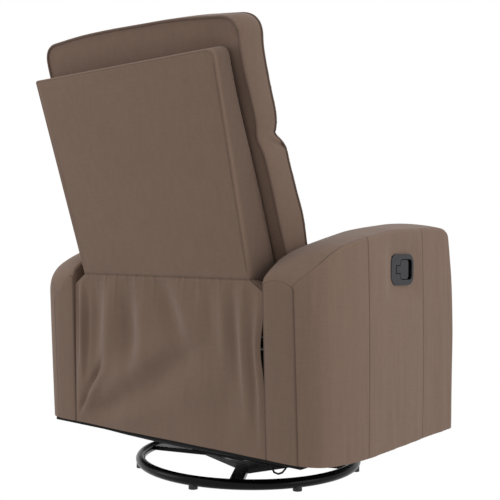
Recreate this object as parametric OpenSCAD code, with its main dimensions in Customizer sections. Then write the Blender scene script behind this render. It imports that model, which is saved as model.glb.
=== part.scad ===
// Swivel glider recliner. Every piece is drawn from the swivel axis, in millimetres,
// with +Z up, the chair's front towards -Y and the release handle on the -X side.

/* [Base] */
// Centre-line radius of the floor ring
ring_r = 254; // [220:1:290]
// Radius of the ring's tube
ring_tube_r = 11; // [9:0.5:14]
// Number of glides under the ring
glide_count = 7; // [5:1:9]
// Height of a glide
glide_h = 6; // [5:0.5:12]
// Radius of a glide
glide_r = 10; // [8:0.5:14]
// Thickness of the flat base steel
base_plate_t = 10; // [8:0.5:12]
// Width of the hub plate
hub_w = 152; // [150:1:170]
// Length of the hub plate
hub_l = 250; // [230:1:280]
// Width of one flat base arm
base_arm_w = 30; // [20:1:40]
// Angle between a base arm and the hub plate's long side
base_arm_angle = 37.5; // [30:0.5:45]
// Turn of the base about the swivel axis
base_turn = -18.9; // [-90:0.1:90]

/* [Swivel bearing] */
// Outer radius of the bearing races
race_r = 72; // [66:1:74]
// Inner radius of the bearing races
race_bore_r = 40; // [34:1:46]
// Thickness of one race
race_t = 6.5; // [6:0.25:8]
// Number of bearing balls
ball_count = 16; // [10:1:20]
// Radius of a bearing ball
ball_r = 4; // [3.5:0.25:4.5]
// Radius of the centre bolt
centre_bolt_r = 8; // [6:0.5:10]

/* [Glider] */
// Thickness of the mechanism's steel plates and links
plate_t = 4; // [3:0.5:4]
// Distance from the centre plane to the inside of the turntable's uprights
upright_x = 186; // [180:1:190]
// Distance of the swing link pivots in front of and behind the axis
link_y = 100; // [90:1:105]
// Height of the upper link pivots
link_top_z = 220; // [205:1:225]
// Distance between a swing link's two pivots
link_l = 110; // [95:1:112]
// Width of a swing link
link_w = 24; // [20:1:26]
// Radius of the pivot pins
pin_r = 5; // [4:0.5:5]
// Width of an upright's ear
ear_w = 34; // [28:1:40]
// Height of the turntable's crossmembers
cross_h = 12; // [10:0.5:14]

/* [Seat frame] */
// Distance from the centre plane to an arm's inner face
arm_x = 283; // [280:1:300]
// Thickness of the wooden rails
rail_t = 20; // [16:1:22]
// Underside of the seat's side rails
rail_z = 300; // [295:1:305]
// Top of the seat's rails
rail_top = 375; // [370:1:380]
// Reach of the seat's frame in front of the axis
frame_front = 242; // [240:1:245]
// Reach of the seat's side rails behind the axis
frame_rear = 215; // [205:1:220]
// Height of the front rail
front_rail_h = 27; // [22:1:27]
// Position of the rear rail's back face
rear_rail_y = 165; // [160:1:168]
// Height of the rear rail
rear_rail_h = 45; // [40:1:60]
// Radius of the cross tubes
tube_r = 11; // [9:0.5:13]
// Height of the cross tubes
tube_z = 300; // [285:1:305]
// Position of the front cross tube ahead of the axis
tube_front = 90; // [85:1:95]
// Position of the rear cross tube behind the axis
tube_rear = 120; // [110:1:130]
// Number of seat springs
spring_count = 5; // [4:1:6]
// Radius of the spring wire
wire_r = 1.7; // [1.5:0.1:1.8]

/* [Upholstery] */
// Height of the upholstered body above the floor
body_z = 104.5; // [100:0.5:110]
// Greatest width of one arm
arm_w = 140; // [136:1:150]
// Height of an arm's flat top above its underside
arm_h = 456; // [440:0.5:470]
// Reach of the arms in front of the axis
arm_front = 248; // [243:1:252]
// Reach of the arms' feet behind the axis
arm_rear = 289; // [285:1:295]
// Rearward lean of an arm's back edge
arm_lean = 17; // [10:1:22]
// Draw-in of an arm's outer panel at its foot
arm_taper = 3; // [0:0.5:10]
// Rounding of an arm's outer top edge
arm_round_out = 17; // [12:1:26]
// Rounding of an arm's inner top edge
arm_round_in = 20; // [14:1:28]
// Rounding of both top edges at an arm's back
arm_round_rear = 9; // [6:1:14]
// Reach of the seat cushion's nose in front of the axis
seat_nose = 300; // [292:1:304]
// Reach of the seat cushion behind the axis
seat_rear = 150; // [140:1:160]
// Thickness of the seat cushion's boxing
seat_h = 66; // [58:1:72]
// Crown of the seat cushion
seat_crown = 14; // [8:1:18]
// Lean of the back's rear plane
back_lean = 17; // [14:0.1:18]
// Position of the shell's lower rear edge behind the axis
shell_y = 298; // [294:1:304]
// Height of the shell's lower rear edge
shell_z = 446; // [440:1:452]
// Height of the shell along its rear plane
shell_h = 450; // [440:1:470]
// Width of the shell at its bottom edge
shell_w = 489; // [480:1:500]
// Width of the shell at its top
shell_top_w = 520; // [500:1:524]
// Depth of the shell's side at the top
shell_top_d = 56; // [50:1:60]
// Depth of the shell's side at the bottom
shell_low_d = 92; // [88:1:96]
// Width of the back cushion at its foot
back_w = 550; // [540:1:556]
// Width of the back cushion at its top
back_top_w = 566; // [556:1:572]
// Height of the back cushion's corners above the shell's bottom edge
back_corner_h = 512; // [490:1:518]
// Rise of the back cushion's arched top
back_arch = 12; // [6:1:20]
// Drop of the back cushion below the shell's bottom edge
back_drop = 34; // [28:1:36]
// Thickness of the back cushion's boxing
back_boxing = 70; // [64:1:78]
// Crown of the back cushion
back_crown = 52; // [40:1:64]
// Height of the tuck across the back cushion above the shell's bottom edge
tuck_h = 266; // [250:1:290]
// Depth of the tuck
tuck_d = 20; // [12:1:26]
// Thickness of the rear skirt
skirt_t = 3; // [2:0.5:4]
// Number of folds in the rear skirt
fold_count = 7; // [5:1:9]
// Depth of a fold
fold_d = 5; // [3:0.5:6]

/* [Handle] */
// Position of the handle behind the axis
handle_y = 5; // [0:1:12]
// Height of the handle's centre
handle_z = 469; // [462:1:476]
// Length of the handle's bezel
bezel_l = 91; // [89:1:95]
// Height of the handle's bezel
bezel_h = 65; // [63:1:68]
// Depth of the handle's cup
cup_d = 25; // [20:1:28]
// Rounding of the bezel's corners
bezel_round = 20; // [14:1:22]
// Opening angle's lever length, from the pin to the paddle's free edge
paddle_l = 55; // [53:1:57]
// Thickness of the paddle
paddle_t = 5; // [4:0.5:6]

/* [Footrest] */
// Position of the footrest's fixed pivot in front of the axis
foot_u = 150; // [148:1:152]
// Height of the footrest's pivots
foot_z = 335; // [332:1:336]
// Distance between a footrest link's end pivots
foot_l = 200; // [194:1:202]
// Angle of the links below level when the footrest is closed
foot_closed = 78; // [77.5:0.1:78.2]
// Angle of the links below level when it is open
foot_open = 25; // [24:0.5:27]
// Width of a footrest link
foot_w = 22; // [18:1:22]
// Thickness of the footrest board
board_t = 12; // [10:1:14]
// Lower edge of the footrest board
board_low = 108; // [106:1:116]
// Half width of the footrest board
board_x = 262; // [250:1:268]
// Thickness of the footrest pad at its edge
pad_t = 30; // [26:1:34]
// Crown of the footrest pad
pad_crown = 16; // [10:1:18]
// Margin of the pad round the board
pad_margin = 10; // [6:1:12]

/* [Hidden] */
$fn = 48;

// Colours
steel = "#19191b";
plated = "#8f9193";
wood = "#c6a477";
cloth = "#74645a";
plastic = "#3f3e40";

// Places and clearances
axis_y = -62;
side_clear = 0.3;
seat_gap = 0.3;
bore_clear = 0.1;
overrun = 1;
sides = [-1, 1];

// Base heights
ring_z = glide_h + ring_tube_r;
plate_z = ring_z - base_plate_t / 2 + 2 * side_clear;
plate_top = plate_z + base_plate_t;
weld_gap = 0.1;
glide_turn = 51;

// Bearing stack
lower_top = plate_top + race_t;
race_gap = 2.4;
ball_z = lower_top + race_gap / 2;
cage_t = 1.6;
upper_z = ball_z + race_gap / 2;
upper_top = upper_z + race_t;
ball_circle_r = (race_r + race_bore_r) / 2;
groove_clear = 0.1;
pocket_clear = 0.2;
disc_l = 230;
disc_w = 150;
disc_t = 4;
disc_top = upper_top + disc_t;
bolt_head_r = 14;
bolt_head_t = 5;

// Glider lanes, counted outwards from the centre plane
link_x = upright_x + plate_t + side_clear;
chassis_x = link_x + plate_t + side_clear;
lane1_x = chassis_x + plate_t + side_clear;
lane2_x = lane1_x + plate_t + side_clear;
lane3_x = lane2_x + plate_t + side_clear;
cross_w = 30;
strip_rise = 28;
strip_top = disc_top + cross_h + strip_rise;
head_r = 8;
head_t = 3;
link_low_z = link_top_z - link_l;

// Chassis plate
chassis_drop = 9.5;
chassis_rise = 10;
chassis_edge = 22;
chassis_low = body_z - chassis_drop;
chassis_top = foot_z + chassis_rise;
chassis_front = foot_u + chassis_edge;
chassis_rear = tube_rear + chassis_edge;
chassis_chamfer = 26;
slot_clear = 0.3;

// Seat frame
rail_in = arm_x - side_clear - rail_t;
rail_len = frame_front + frame_rear;
spring_waves = 6;
spring_swing = 22;
spring_rings = 30;
spring_sides = 5;
spring_z = rail_top + seat_gap + wire_r;
cushion_z = spring_z + wire_r + seat_gap;

// Back
strap_x = 226.7;
strap_w = 30;
strap_d = 60;
strap_up = 130;
eye_r = 14;
pivot_y = 190;
pivot_z = 350;
hinge_x = strap_x + plate_t + side_clear;
flange_h = 40;
hinge_low = 312;
bolt_r = 6;

// Arms: stations from the front, each with its share of the arm's length, of its
// width and of its height
arm_shares = [
    [0, 0.74, 0.8], [0.006, 0.8, 0.862], [0.018, 0.845, 0.905],
    [0.039, 0.87, 0.948], [0.07, 0.875, 0.977], [0.116, 0.88, 0.994],
    [0.19, 0.885, 1], [0.3, 0.9, 1], [0.411, 0.935, 0.999], [0.521, 0.96, 0.992],
    [0.632, 0.985, 0.973], [0.722, 1, 0.946], [0.797, 0.99, 0.914],
    [0.862, 0.955, 0.878], [0.917, 0.905, 0.842], [0.954, 0.845, 0.813],
    [0.978, 0.755, 0.787], [0.993, 0.64, 0.763], [1, 0.53, 0.74]];
arm_arc_steps = 5;
cavity_in = 22;
cavity_w = 90;
cavity_front = 200;
cavity_rear = 258;
cavity_h = 322;
cavity_top_front = 62;
cavity_top_rear = 80;
frame_wall = 0.3;
bolt_y = 130;
bolt_z = 338;
arm_bolt_r = 4;

// Dust rails
dust_h = 7;
dust_w = 22;
dust_in = 89;
dust_x = arm_x + dust_in;
dust_front_in = 26;
dust_front = arm_front - dust_front_in;
dust_rear_in = 54;
dust_rear = arm_rear - dust_rear_in;
dust_back_in = 5;
dust_back = arm_rear - dust_back_in;
dust_side_in = 61;
dust_span = arm_x + arm_w - dust_side_in;

// Skirt
skirt_x = arm_x - 1;
skirt_steps = 42;
skirt_rows = 6;
skirt_corner_drop = 14;

// Handle
bezel_x = 410;
flange_t = 6;
bezel_wall = 3;
bezel_skin = 2.5;
cup_round = 12;
paddle_h = 40;
paddle_stem_h = 15;
paddle_bar_l = 32;
paddle_round = 7;
paddle_pin_y = 30;
paddle_end = 7.5;
paddle_web = 1.5;
window_gap = 1.5;
window_front = 14;
pin_small_r = 2.5;
barrel_r = 5;

// Release cable: its route, by hand
cable_r = 2;
cable_sides = 8;
cable_points = [
    [-382.5, 20, 452], [-377.5, 30, 440], [-372, 60, 420], [-366, 100, 380],
    [-360, 140, 330], [-352, 180, 280], [-342, 215, 230], [-330, 238, 180],
    [-318, 248, 140], [-309, 251, 112], [-306, 251, 96], [-302, 251, 84],
    [-294, 251, 75], [-284, 251, 70.5], [-274, 251, 72], [-267, 250, 80],
    [-262, 246, 94], [-256, 236, 112], [-248, 218, 134], [-240, 196, 156],
    [-232, 170, 176], [-224, 142, 190], [-214, 114, 199], [-205.6, 96, 203]];

// Latch
latch_y = 64;
latch_z = 204;
latch_l = 26;
latch_w = 12;

// Footrest pivots at rest, as distance ahead of the axis and height
foot_half = foot_l / 2;
foot_run = cos(foot_closed);
foot_fall = sin(foot_closed);
pivot_p = [foot_u, foot_z];
pivot_m1 = [foot_u + foot_half * foot_run, foot_z - foot_half * foot_fall];
pivot_e = [foot_u + foot_l * foot_run, foot_z - foot_l * foot_fall];
pivot_s = [foot_u, foot_z - foot_l * foot_fall];
pivot_q = [foot_u + foot_l * foot_run, foot_z];
pivot_b = [foot_u + 2 * foot_l * foot_run, foot_z - foot_l * foot_fall];
pivot_m2 = [foot_u + 1.5 * foot_l * foot_run, foot_z - foot_half * foot_fall];
pivot_r = [foot_u + 2 * foot_l * foot_run, foot_z];
slot_top = foot_z - foot_l * sin(foot_open);
board_gap = 14;
board_rise = 5;
board_u = pivot_r[0] + board_gap;
board_top = foot_z + board_rise;
rivet_head_r = 8;
rivet_head_t = 1.6;
bracket_l = 110;
bracket_w = 10;
free_clear = 0.2;

// Moves a piece from the swivel axis to the origin, the middle of the chair's outline
module on_axis() {
    translate([0, axis_y, 0]) children();
}

// Repeats a piece on the left and right sides
module both_sides() {
    for (s = sides) scale_side(s) children();
}

// Mirrors a piece across the centre plane where the side is -1
module scale_side(s) {
    if (s < 0) mirror([1, 0, 0]) children();
    else children();
}

// A flat plate from an outline in Y and Z, standing at a distance x
module standing_plate(x, t) {
    translate([x, 0, 0]) rotate([90, 0, 90]) linear_extrude(t) children();
}

// A round rod along X
module rod_x(x, y, z, l, r) {
    translate([x, y, z]) rotate([0, 90, 0]) cylinder(h = l, r = r);
}

// A flat bar with round ends between two points of the Y and Z plane
module bar_outline(a, b, w, waist_share = 0.9) {
    d = b - a;
    translate(a) circle(d = w);
    translate(b) circle(d = w);
    translate(a) rotate(atan2(d[1], d[0]))
        translate([0, -waist_share * w / 2]) square([norm(d), waist_share * w]);
}

// A link between two pivots with bores of the radii given
module link(x, a, b, w, ra, rb) {
    difference() {
        standing_plate(x, plate_t) bar_outline(a, b, w);
        rod_x(x - overrun, a[0], a[1], plate_t + 2 * overrun, ra);
        rod_x(x - overrun, b[0], b[1], plate_t + 2 * overrun, rb);
    }
}

// Turns a footrest point, ahead and up, into one of Y and Z
function ahead(p) = [-p[0], p[1]];

// Places a piece on the back's leaning rear plane
module on_back() {
    translate([0, shell_y, shell_z]) rotate([-back_lean, 0, 0]) children();
}

// A closed solid between two grids of points with the same rows and columns
module slab(low, high) {
    rows = len(low);
    cols = len(low[0]);
    n = rows * cols;
    points = concat([for (r = low) each r], [for (r = high) each r]);
    top = [for (j = [0:rows - 2]) for (i = [0:cols - 2]) let (k = n + j * cols + i)
        each [[k, k + cols, k + 1], [k + 1, k + cols, k + cols + 1]]];
    bottom = [for (j = [0:rows - 2]) for (i = [0:cols - 2]) let (k = j * cols + i)
        each [[k, k + 1, k + cols], [k + 1, k + cols + 1, k + cols]]];
    rim = concat([for (i = [0:cols - 1]) i],
        [for (j = [1:rows - 1]) j * cols + cols - 1],
        [for (i = [cols - 2:-1:0]) (rows - 1) * cols + i],
        [for (j = [rows - 2:-1:1]) j * cols]);
    m = len(rim);
    wall = [for (k = [0:m - 1]) let (a = rim[k], b = rim[(k + 1) % m])
        each [[a, a + n, b], [b, a + n, b + n]]];
    polyhedron(points, concat(top, bottom, wall), convexity = 8);
}

// A closed solid through rings of points, capped at both ends round its first and
// last centres
module loft(rings) {
    m = len(rings);
    n = len(rings[0]);
    points = concat([for (r = rings) each r], [middle(rings[0]), middle(rings[m - 1])]);
    wall = [for (j = [0:m - 2]) for (i = [0:n - 1])
        let (a = j * n + i, b = j * n + (i + 1) % n)
        each [[a, b, a + n], [b, b + n, a + n]]];
    caps = [for (i = [0:n - 1]) each [[(i + 1) % n, i, m * n],
        [(m - 1) * n + i, (m - 1) * n + (i + 1) % n, m * n + 1]]];
    polyhedron(points, concat(wall, caps), convexity = 8);
}

// Mean of a list of points
function middle(p) = [for (c = [0:2]) sum([for (q = p) q[c]]) / len(p)];

// Sum of a list of numbers
function sum(v, i = 0) = i == len(v) ? 0 : v[i] + sum(v, i + 1);

// Roundness of a pillow between its edges, for a share from -1 to 1
function swell(s) = pow(1 - pow(abs(s), 4), 0.5);

// Softer roundness, that rises slowly from the edges
function dome(s) = 1 - pow(abs(s), 3);

// Steps of a grid from -1 to 1, closer together at the edges
function spread(n) = [for (i = [0:n]) sin(90 * (2 * i / n - 1))];

// A tube along a route
module tube(route, r, n) {
    m = len(route);
    rings = [for (i = [0:m - 1])
        let (a = route[max(i - 1, 0)], b = route[min(i + 1, m - 1)], t = (b - a) / norm(b - a),
            s0 = abs(t[2]) < 0.9 ? cross(t, [0, 0, 1]) : cross(t, [0, 1, 0]),
            s = s0 / norm(s0), w = cross(s, t))
        [for (k = [0:n - 1]) route[i] + r * (cos(360 * k / n) * s + sin(360 * k / n) * w)]];
    loft(rings);
}

// The tube ring that stands on the floor
module base_ring() {
    color(steel) on_axis()
        translate([0, 0, ring_z]) rotate_extrude() translate([ring_r, 0]) circle(ring_tube_r);
}

// Flat arms that join the hub plate to the ring
module base_arms() {
    color(steel) on_axis() rotate(base_turn) difference() {
        for (s = sides) for (e = sides) rotate(90 + e * 90 + s * base_arm_angle)
            translate([0, -base_arm_w / 2, plate_z]) cube([ring_r, base_arm_w, base_plate_t]);
        translate([-hub_l / 2 - weld_gap, -hub_w / 2 - weld_gap, plate_z - overrun])
            cube([hub_l + 2 * weld_gap, hub_w + 2 * weld_gap, base_plate_t + 2 * overrun]);
        translate([0, 0, ring_z]) rotate_extrude()
            translate([ring_r, 0]) circle(ring_tube_r + weld_gap);
    }
}

// Central plate that carries the swivel bearing
module hub_plate() {
    color(steel) on_axis() rotate(base_turn) difference() {
        translate([-hub_l / 2, -hub_w / 2, plate_z]) cube([hub_l, hub_w, base_plate_t]);
        translate([0, 0, plate_z - overrun])
            cylinder(h = base_plate_t + 2 * overrun, r = centre_bolt_r + weld_gap);
    }
}

// Small glides that keep the ring off the floor
module floor_glides() {
    color(plastic) on_axis() for (i = [0:glide_count - 1])
        rotate(glide_turn + 360 * i / glide_count) difference() {
            translate([ring_r, 0, 0]) cylinder(h = glide_h + ring_tube_r / 2, r = glide_r);
            translate([0, 0, ring_z]) rotate_extrude()
                translate([ring_r, 0]) circle(ring_tube_r + weld_gap);
        }
}

// Centre bolt of the swivel
module swivel_bolt() {
    color(plated) on_axis() {
        translate([0, 0, plate_z]) cylinder(h = disc_top + side_clear - plate_z, r = centre_bolt_r);
        translate([0, 0, disc_top + side_clear]) cylinder(h = bolt_head_t, r = bolt_head_r);
    }
}

// One race of the ball bearing, its groove facing the balls
module race(z) {
    difference() {
        translate([0, 0, z]) cylinder(h = race_t, r = race_r);
        translate([0, 0, z - overrun]) cylinder(h = race_t + 2 * overrun, r = race_bore_r);
        translate([0, 0, ball_z]) rotate_extrude()
            translate([ball_circle_r, 0]) circle(ball_r + groove_clear);
    }
}

// Lower race of the swivel bearing
module swivel_lower_race() {
    color(plated) on_axis() race(plate_top);
}

// Upper race of the swivel bearing
module swivel_upper_race() {
    color(plated) on_axis() race(upper_z);
}

// Cage that spaces the balls
module bearing_cage() {
    color(plated) on_axis() difference() {
        translate([0, 0, ball_z - cage_t / 2]) cylinder(h = cage_t, r = race_r - overrun);
        translate([0, 0, ball_z - cage_t]) cylinder(h = 2 * cage_t, r = race_bore_r + overrun);
        for (i = [0:ball_count - 1]) rotate(360 * i / ball_count)
            translate([ball_circle_r, 0, ball_z - cage_t])
                cylinder(h = 2 * cage_t, r = ball_r + pocket_clear);
    }
}

// Balls of the swivel bearing
module bearing_balls() {
    color(plated) on_axis() for (i = [0:ball_count - 1]) rotate(360 * i / ball_count)
        translate([ball_circle_r, 0, ball_z]) sphere(ball_r);
}

// Plate that turns on the bearing
module turntable_plate() {
    color(steel) on_axis() difference() {
        translate([-disc_w / 2, -disc_l / 2, upper_top]) cube([disc_w, disc_l, disc_t]);
        translate([0, 0, upper_top - overrun])
            cylinder(h = disc_t + 2 * overrun, r = centre_bolt_r + bore_clear);
    }
}

// Flat tubes across the turntable
module glider_crossmembers() {
    color(steel) on_axis() for (s = sides)
        translate([-upright_x + weld_gap, s * link_y - cross_w / 2, disc_top])
            cube([2 * (upright_x - weld_gap), cross_w, cross_h]);
}

// Uprights that carry the swing links' upper pivots
module glider_uprights() {
    color(steel) on_axis() both_sides() difference() {
        standing_plate(upright_x, plate_t) {
            translate([-link_y - ear_w / 2, disc_top])
                square([2 * link_y + ear_w, strip_top - disc_top]);
            for (s = sides) {
                translate([s * link_y - ear_w / 2, disc_top])
                    square([ear_w, link_top_z - disc_top]);
                translate([s * link_y, link_top_z]) circle(d = ear_w);
            }
        }
        for (s = sides)
            rod_x(upright_x - overrun, s * link_y, link_top_z, plate_t + 2 * overrun, pin_r + weld_gap);
    }
}

// Upper pivot pins, headed on the inside
module link_top_pins() {
    color(plated) on_axis() both_sides() for (s = sides) {
        rod_x(upright_x, s * link_y, link_top_z, 2 * plate_t + side_clear, pin_r);
        rod_x(upright_x - head_t, s * link_y, link_top_z, head_t, head_r);
    }
}

// A pair of swing links at one end of the glider
module swing_links(y) {
    both_sides() link(link_x, [y, link_top_z], [y, link_low_z], link_w,
        pin_r + bore_clear, pin_r + bore_clear);
}

// Swing links at the front
module front_swing_links() {
    color(steel) on_axis() swing_links(-link_y);
}

// Swing links at the rear, with a freer lower eye
module rear_swing_links() {
    color(steel) on_axis() both_sides() link(link_x, [link_y, link_top_z],
        [link_y, link_low_z], link_w, pin_r + bore_clear, pin_r + free_clear);
}

// Lower pivot pins, headed on the outside
module link_bottom_pins() {
    color(plated) on_axis() both_sides() for (s = sides) {
        rod_x(link_x, s * link_y, link_low_z, 2 * plate_t + side_clear, pin_r);
        rod_x(chassis_x + plate_t, s * link_y, link_low_z, head_t, head_r);
    }
}

// Outline of a mechanism side plate in Y and Z
module side_plate_outline() {
    polygon([[-chassis_front, chassis_top], [-chassis_front, chassis_low + chassis_chamfer],
        [-chassis_front + chassis_chamfer, chassis_low],
        [chassis_rear - chassis_chamfer, chassis_low],
        [chassis_rear, chassis_low + chassis_chamfer], [chassis_rear, chassis_top]]);
}

// Steel side plates that everything above the glider hangs on
module mechanism_side_plates() {
    color(steel) on_axis() both_sides() difference() {
        standing_plate(chassis_x, plate_t) side_plate_outline();
        for (s = sides) rod_x(chassis_x - overrun, s * link_y, link_low_z,
            plate_t + 2 * overrun, pin_r + weld_gap);
        for (y = [-tube_front, tube_rear]) rod_x(chassis_x - overrun, y, tube_z,
            plate_t + 2 * overrun, tube_r + weld_gap);
        rod_x(chassis_x - overrun, -foot_u, foot_z, plate_t + 2 * overrun, pin_r + bore_clear);
        standing_plate(chassis_x - overrun, plate_t + 2 * overrun)
            bar_outline(ahead([foot_u, slot_top]), ahead(pivot_s),
                2 * (pin_r + slot_clear), 1);
        rod_x(chassis_x - overrun, latch_y, latch_z, plate_t + 2 * overrun, pin_r + weld_gap);
    }
}

// Tubes that join the side plates to the seat frame
module cross_tubes() {
    color(steel) on_axis() for (y = [-tube_front, tube_rear])
        rod_x(-rail_in + weld_gap, y, tube_z, 2 * (rail_in - weld_gap), tube_r);
}

// Wooden side rails of the seat
module seat_side_rails() {
    color(wood) on_axis() both_sides() difference() {
        translate([rail_in, -frame_front, rail_z])
            cube([rail_t, rail_len, rail_top - rail_z]);
        for (s = sides) rod_x(rail_in - overrun, s * bolt_y, bolt_z,
            rail_t + 2 * overrun, arm_bolt_r + bore_clear);
    }
}

// A wooden rail across the seat
module cross_rail(y, z, h) {
    translate([-rail_in + weld_gap, y, z]) cube([2 * (rail_in - weld_gap), rail_t, h]);
}

// Front rail of the seat
module seat_front_rail() {
    color(wood) on_axis() cross_rail(-frame_front, rail_top - front_rail_h, front_rail_h);
}

// Rear rail of the seat
module seat_rear_rail() {
    color(wood) on_axis() cross_rail(rear_rail_y - rail_t, rail_top - rear_rail_h, rear_rail_h);
}

// Sinuous wires between the front and rear rails
module seat_springs() {
    span = frame_front - rail_t / 2 + rear_rail_y - rail_t / 2;
    pitch = 2 * rail_in / (spring_count + 1);
    color(plated) on_axis() for (k = [1:spring_count])
        tube([for (i = [0:spring_rings]) let (s = i / spring_rings)
            [-rail_in + k * pitch + spring_swing * sin(360 * spring_waves * s / 2),
                -frame_front + rail_t / 2 + s * span, spring_z]],
            wire_r, spring_sides);
}

// Seat cushion with its crown and drawn-in sides
module seat_cushion() {
    us = spread(16);
    vs = spread(16);
    hw = arm_x - 3 * side_clear;
    mid = (seat_rear - seat_nose) / 2;
    half = (seat_rear + seat_nose) / 2;
    corner_share = 0.03;
    color(cloth) on_axis() slab(
        [for (v = vs) [for (u = us) [hw * u * (1 - corner_share * pow(abs(v), 8)),
            mid + half * v * (1 - corner_share * pow(abs(u), 8)), cushion_z]]],
        [for (v = vs) [for (u = us) [hw * u * (1 - corner_share * pow(abs(v), 8)),
            mid + half * v * (1 - corner_share * pow(abs(u), 8)),
            cushion_z + seat_h + seat_crown * swell(u) * swell(v)]]]);
}

// Ring of points round an arm at one station
function arm_ring(k) = let (
    t = arm_shares[k][0], w = arm_shares[k][1] * arm_w, h = arm_shares[k][2] * arm_h,
    y0 = -arm_front + t * (arm_front + arm_rear),
    aft = pow(t, 8),
    ro = arm_round_out + (arm_round_rear - arm_round_out) * aft,
    ri = arm_round_in + (arm_round_rear - arm_round_in) * aft,
    outline = concat(
        [[0, 0], [w - arm_taper, 0], [w - 2 * arm_taper / 3, h / 3],
            [w - arm_taper / 3, 2 * h / 3]],
        [for (i = [0:arm_arc_steps]) let (a = 90 * i / arm_arc_steps)
            [w - ro + ro * cos(a), h - ro + ro * sin(a)]],
        [for (i = [0:arm_arc_steps]) let (a = 90 + 90 * i / arm_arc_steps)
            [ri + ri * cos(a), h - ri + ri * sin(a)]],
        [[0, h / 2]]))
    [for (p = outline) [arm_x + p[0], y0 + arm_lean * pow(t, 3) * p[1] / h, body_z + p[1]]];

// Upholstered arm, open underneath round its frame
module arm() {
    difference() {
        loft([for (k = [0:len(arm_shares) - 1]) arm_ring(k)]);
        translate([arm_x + cavity_in, -cavity_front, body_z - overrun])
            cube([cavity_w, cavity_front + cavity_rear, cavity_h + overrun]);
        for (s = sides) rod_x(arm_x - overrun, s * bolt_y, bolt_z,
            cavity_in + 2 * overrun, arm_bolt_r + bore_clear);
    }
}

// Left arm, on the side away from the handle
module left_arm() {
    color(cloth) on_axis() arm();
}

// Right arm, with the handle's pocket in its outer panel
module right_arm() {
    color(cloth) on_axis() difference() {
        mirror([1, 0, 0]) arm();
        translate([-bezel_x - arm_w, handle_y - bezel_l / 2 - seat_gap,
            handle_z - bezel_h / 2 - seat_gap])
            cube([arm_w, bezel_l + 2 * seat_gap, bezel_h + 2 * seat_gap]);
        translate([-bezel_x - overrun, handle_y - cavity_top_front, body_z + cavity_h - overrun])
            cube([cavity_w / 2, cavity_top_rear + cavity_top_front,
                handle_z + bezel_h / 2 - body_z - cavity_h]);
    }
}

// Wooden frames inside the arms
module arm_frames() {
    x = arm_x + cavity_in + frame_wall;
    low = body_z + dust_h;
    color(wood) on_axis() both_sides() difference() {
        translate([x, -cavity_front + side_clear, low])
            cube([rail_t, cavity_front + cavity_rear - 2 * side_clear - rail_t,
                cavity_h - dust_h - side_clear]);
        for (s = sides) rod_x(x - overrun, s * bolt_y, bolt_z,
            rail_t + 2 * overrun, arm_bolt_r + bore_clear);
    }
}

// Bolts that hold the arms to the seat's side rails
module arm_bolts() {
    color(plated) on_axis() both_sides() for (s = sides) {
        rod_x(rail_in - weld_gap, s * bolt_y, bolt_z,
            rail_t + cavity_in + rail_t, arm_bolt_r);
        rod_x(rail_in - weld_gap - head_t, s * bolt_y, bolt_z, head_t, head_r);
    }
}

// Thin dark rails under the body
module dust_rails() {
    z = body_z - seat_gap - dust_h;
    color(steel) on_axis() {
        both_sides() translate([dust_x, -dust_front, z])
            cube([dust_w, dust_front + dust_rear, dust_h]);
        translate([-dust_span, dust_back - dust_w, z]) cube([2 * dust_span, dust_w, dust_h]);
    }
}

// Depth of the shell's front, from its rear plane, at a height share
function shell_depth(s) = shell_low_d + (shell_top_d - shell_low_d) * s;

// Upholstered rear shell of the back
module back_shell() {
    us = spread(12);
    vs = spread(12);
    round_share = 0.02;
    panel_crown = 4;
    color(cloth) on_axis() on_back() difference() {
        slab(
            [for (v = vs) [for (u = us) let (s = (v + 1) / 2,
                hw = (shell_w + (shell_top_w - shell_w) * s) / 2)
                [hw * u * (1 - round_share * pow(abs(v), 8)), -shell_depth(s) + seat_gap,
                    shell_h * s * (1 - round_share * pow(abs(u), 8) * s)]]],
            [for (v = vs) [for (u = us) let (s = (v + 1) / 2,
                hw = (shell_w + (shell_top_w - shell_w) * s) / 2)
                [hw * u * (1 - round_share * pow(abs(v), 8)),
                    -panel_crown * (1 - swell(u) * swell(v)),
                    shell_h * s * (1 - round_share * pow(abs(u), 8) * s)]]]);
        for (e = sides) translate([e * (strap_x + plate_t / 2) - plate_t / 2 - side_clear,
            -strap_d - strap_w / 2 - side_clear, -overrun])
            cube([plate_t + 2 * side_clear, strap_w + 2 * side_clear,
                strap_up + overrun + side_clear]);
    }
}

// How far the tuck draws the back cushion in at a height
function tuck(h) = exp(-pow((h - tuck_h) / tuck_d, 2));

// Back cushion with its boxing, crown and waist tuck
module back_cushion() {
    us = spread(16);
    vs = spread(26);
    corner_share = 0.035;
    side_tuck = 8;
    color(cloth) on_axis() on_back() slab(
        [for (v = vs) [for (u = us) back_point(u, v, corner_share, side_tuck, 0, 0)]],
        [for (v = vs) [for (u = us) back_point(u, v, corner_share, side_tuck,
            back_boxing, back_crown)]]);
}

// A point of the back cushion; the boxing and crown lie in front of its rear face
function back_point(u, v, corner, pull, boxing, crown) = let (
    top = back_corner_h + back_arch * (1 - u * u),
    s = (v + 1) / 2,
    h = -back_drop + (top + back_drop) * (s - corner * pow(abs(u), 8) * (s - 0.5)),
    half = (back_w + (back_top_w - back_w) * s) / 2,
    x = half * u * (1 - corner * pow(abs(v), 8)) - pull * sign(u) * pow(abs(u), 6) * tuck(h),
    rear = shell_depth(min(max(h / shell_h, -0.1), 1)),
    fill = crown * dome(u) * dome(v),
    front = fill - (crown > 0 ? tuck_d * tuck(h) : 0))
    [x, -rear - boxing - front, h];

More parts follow.
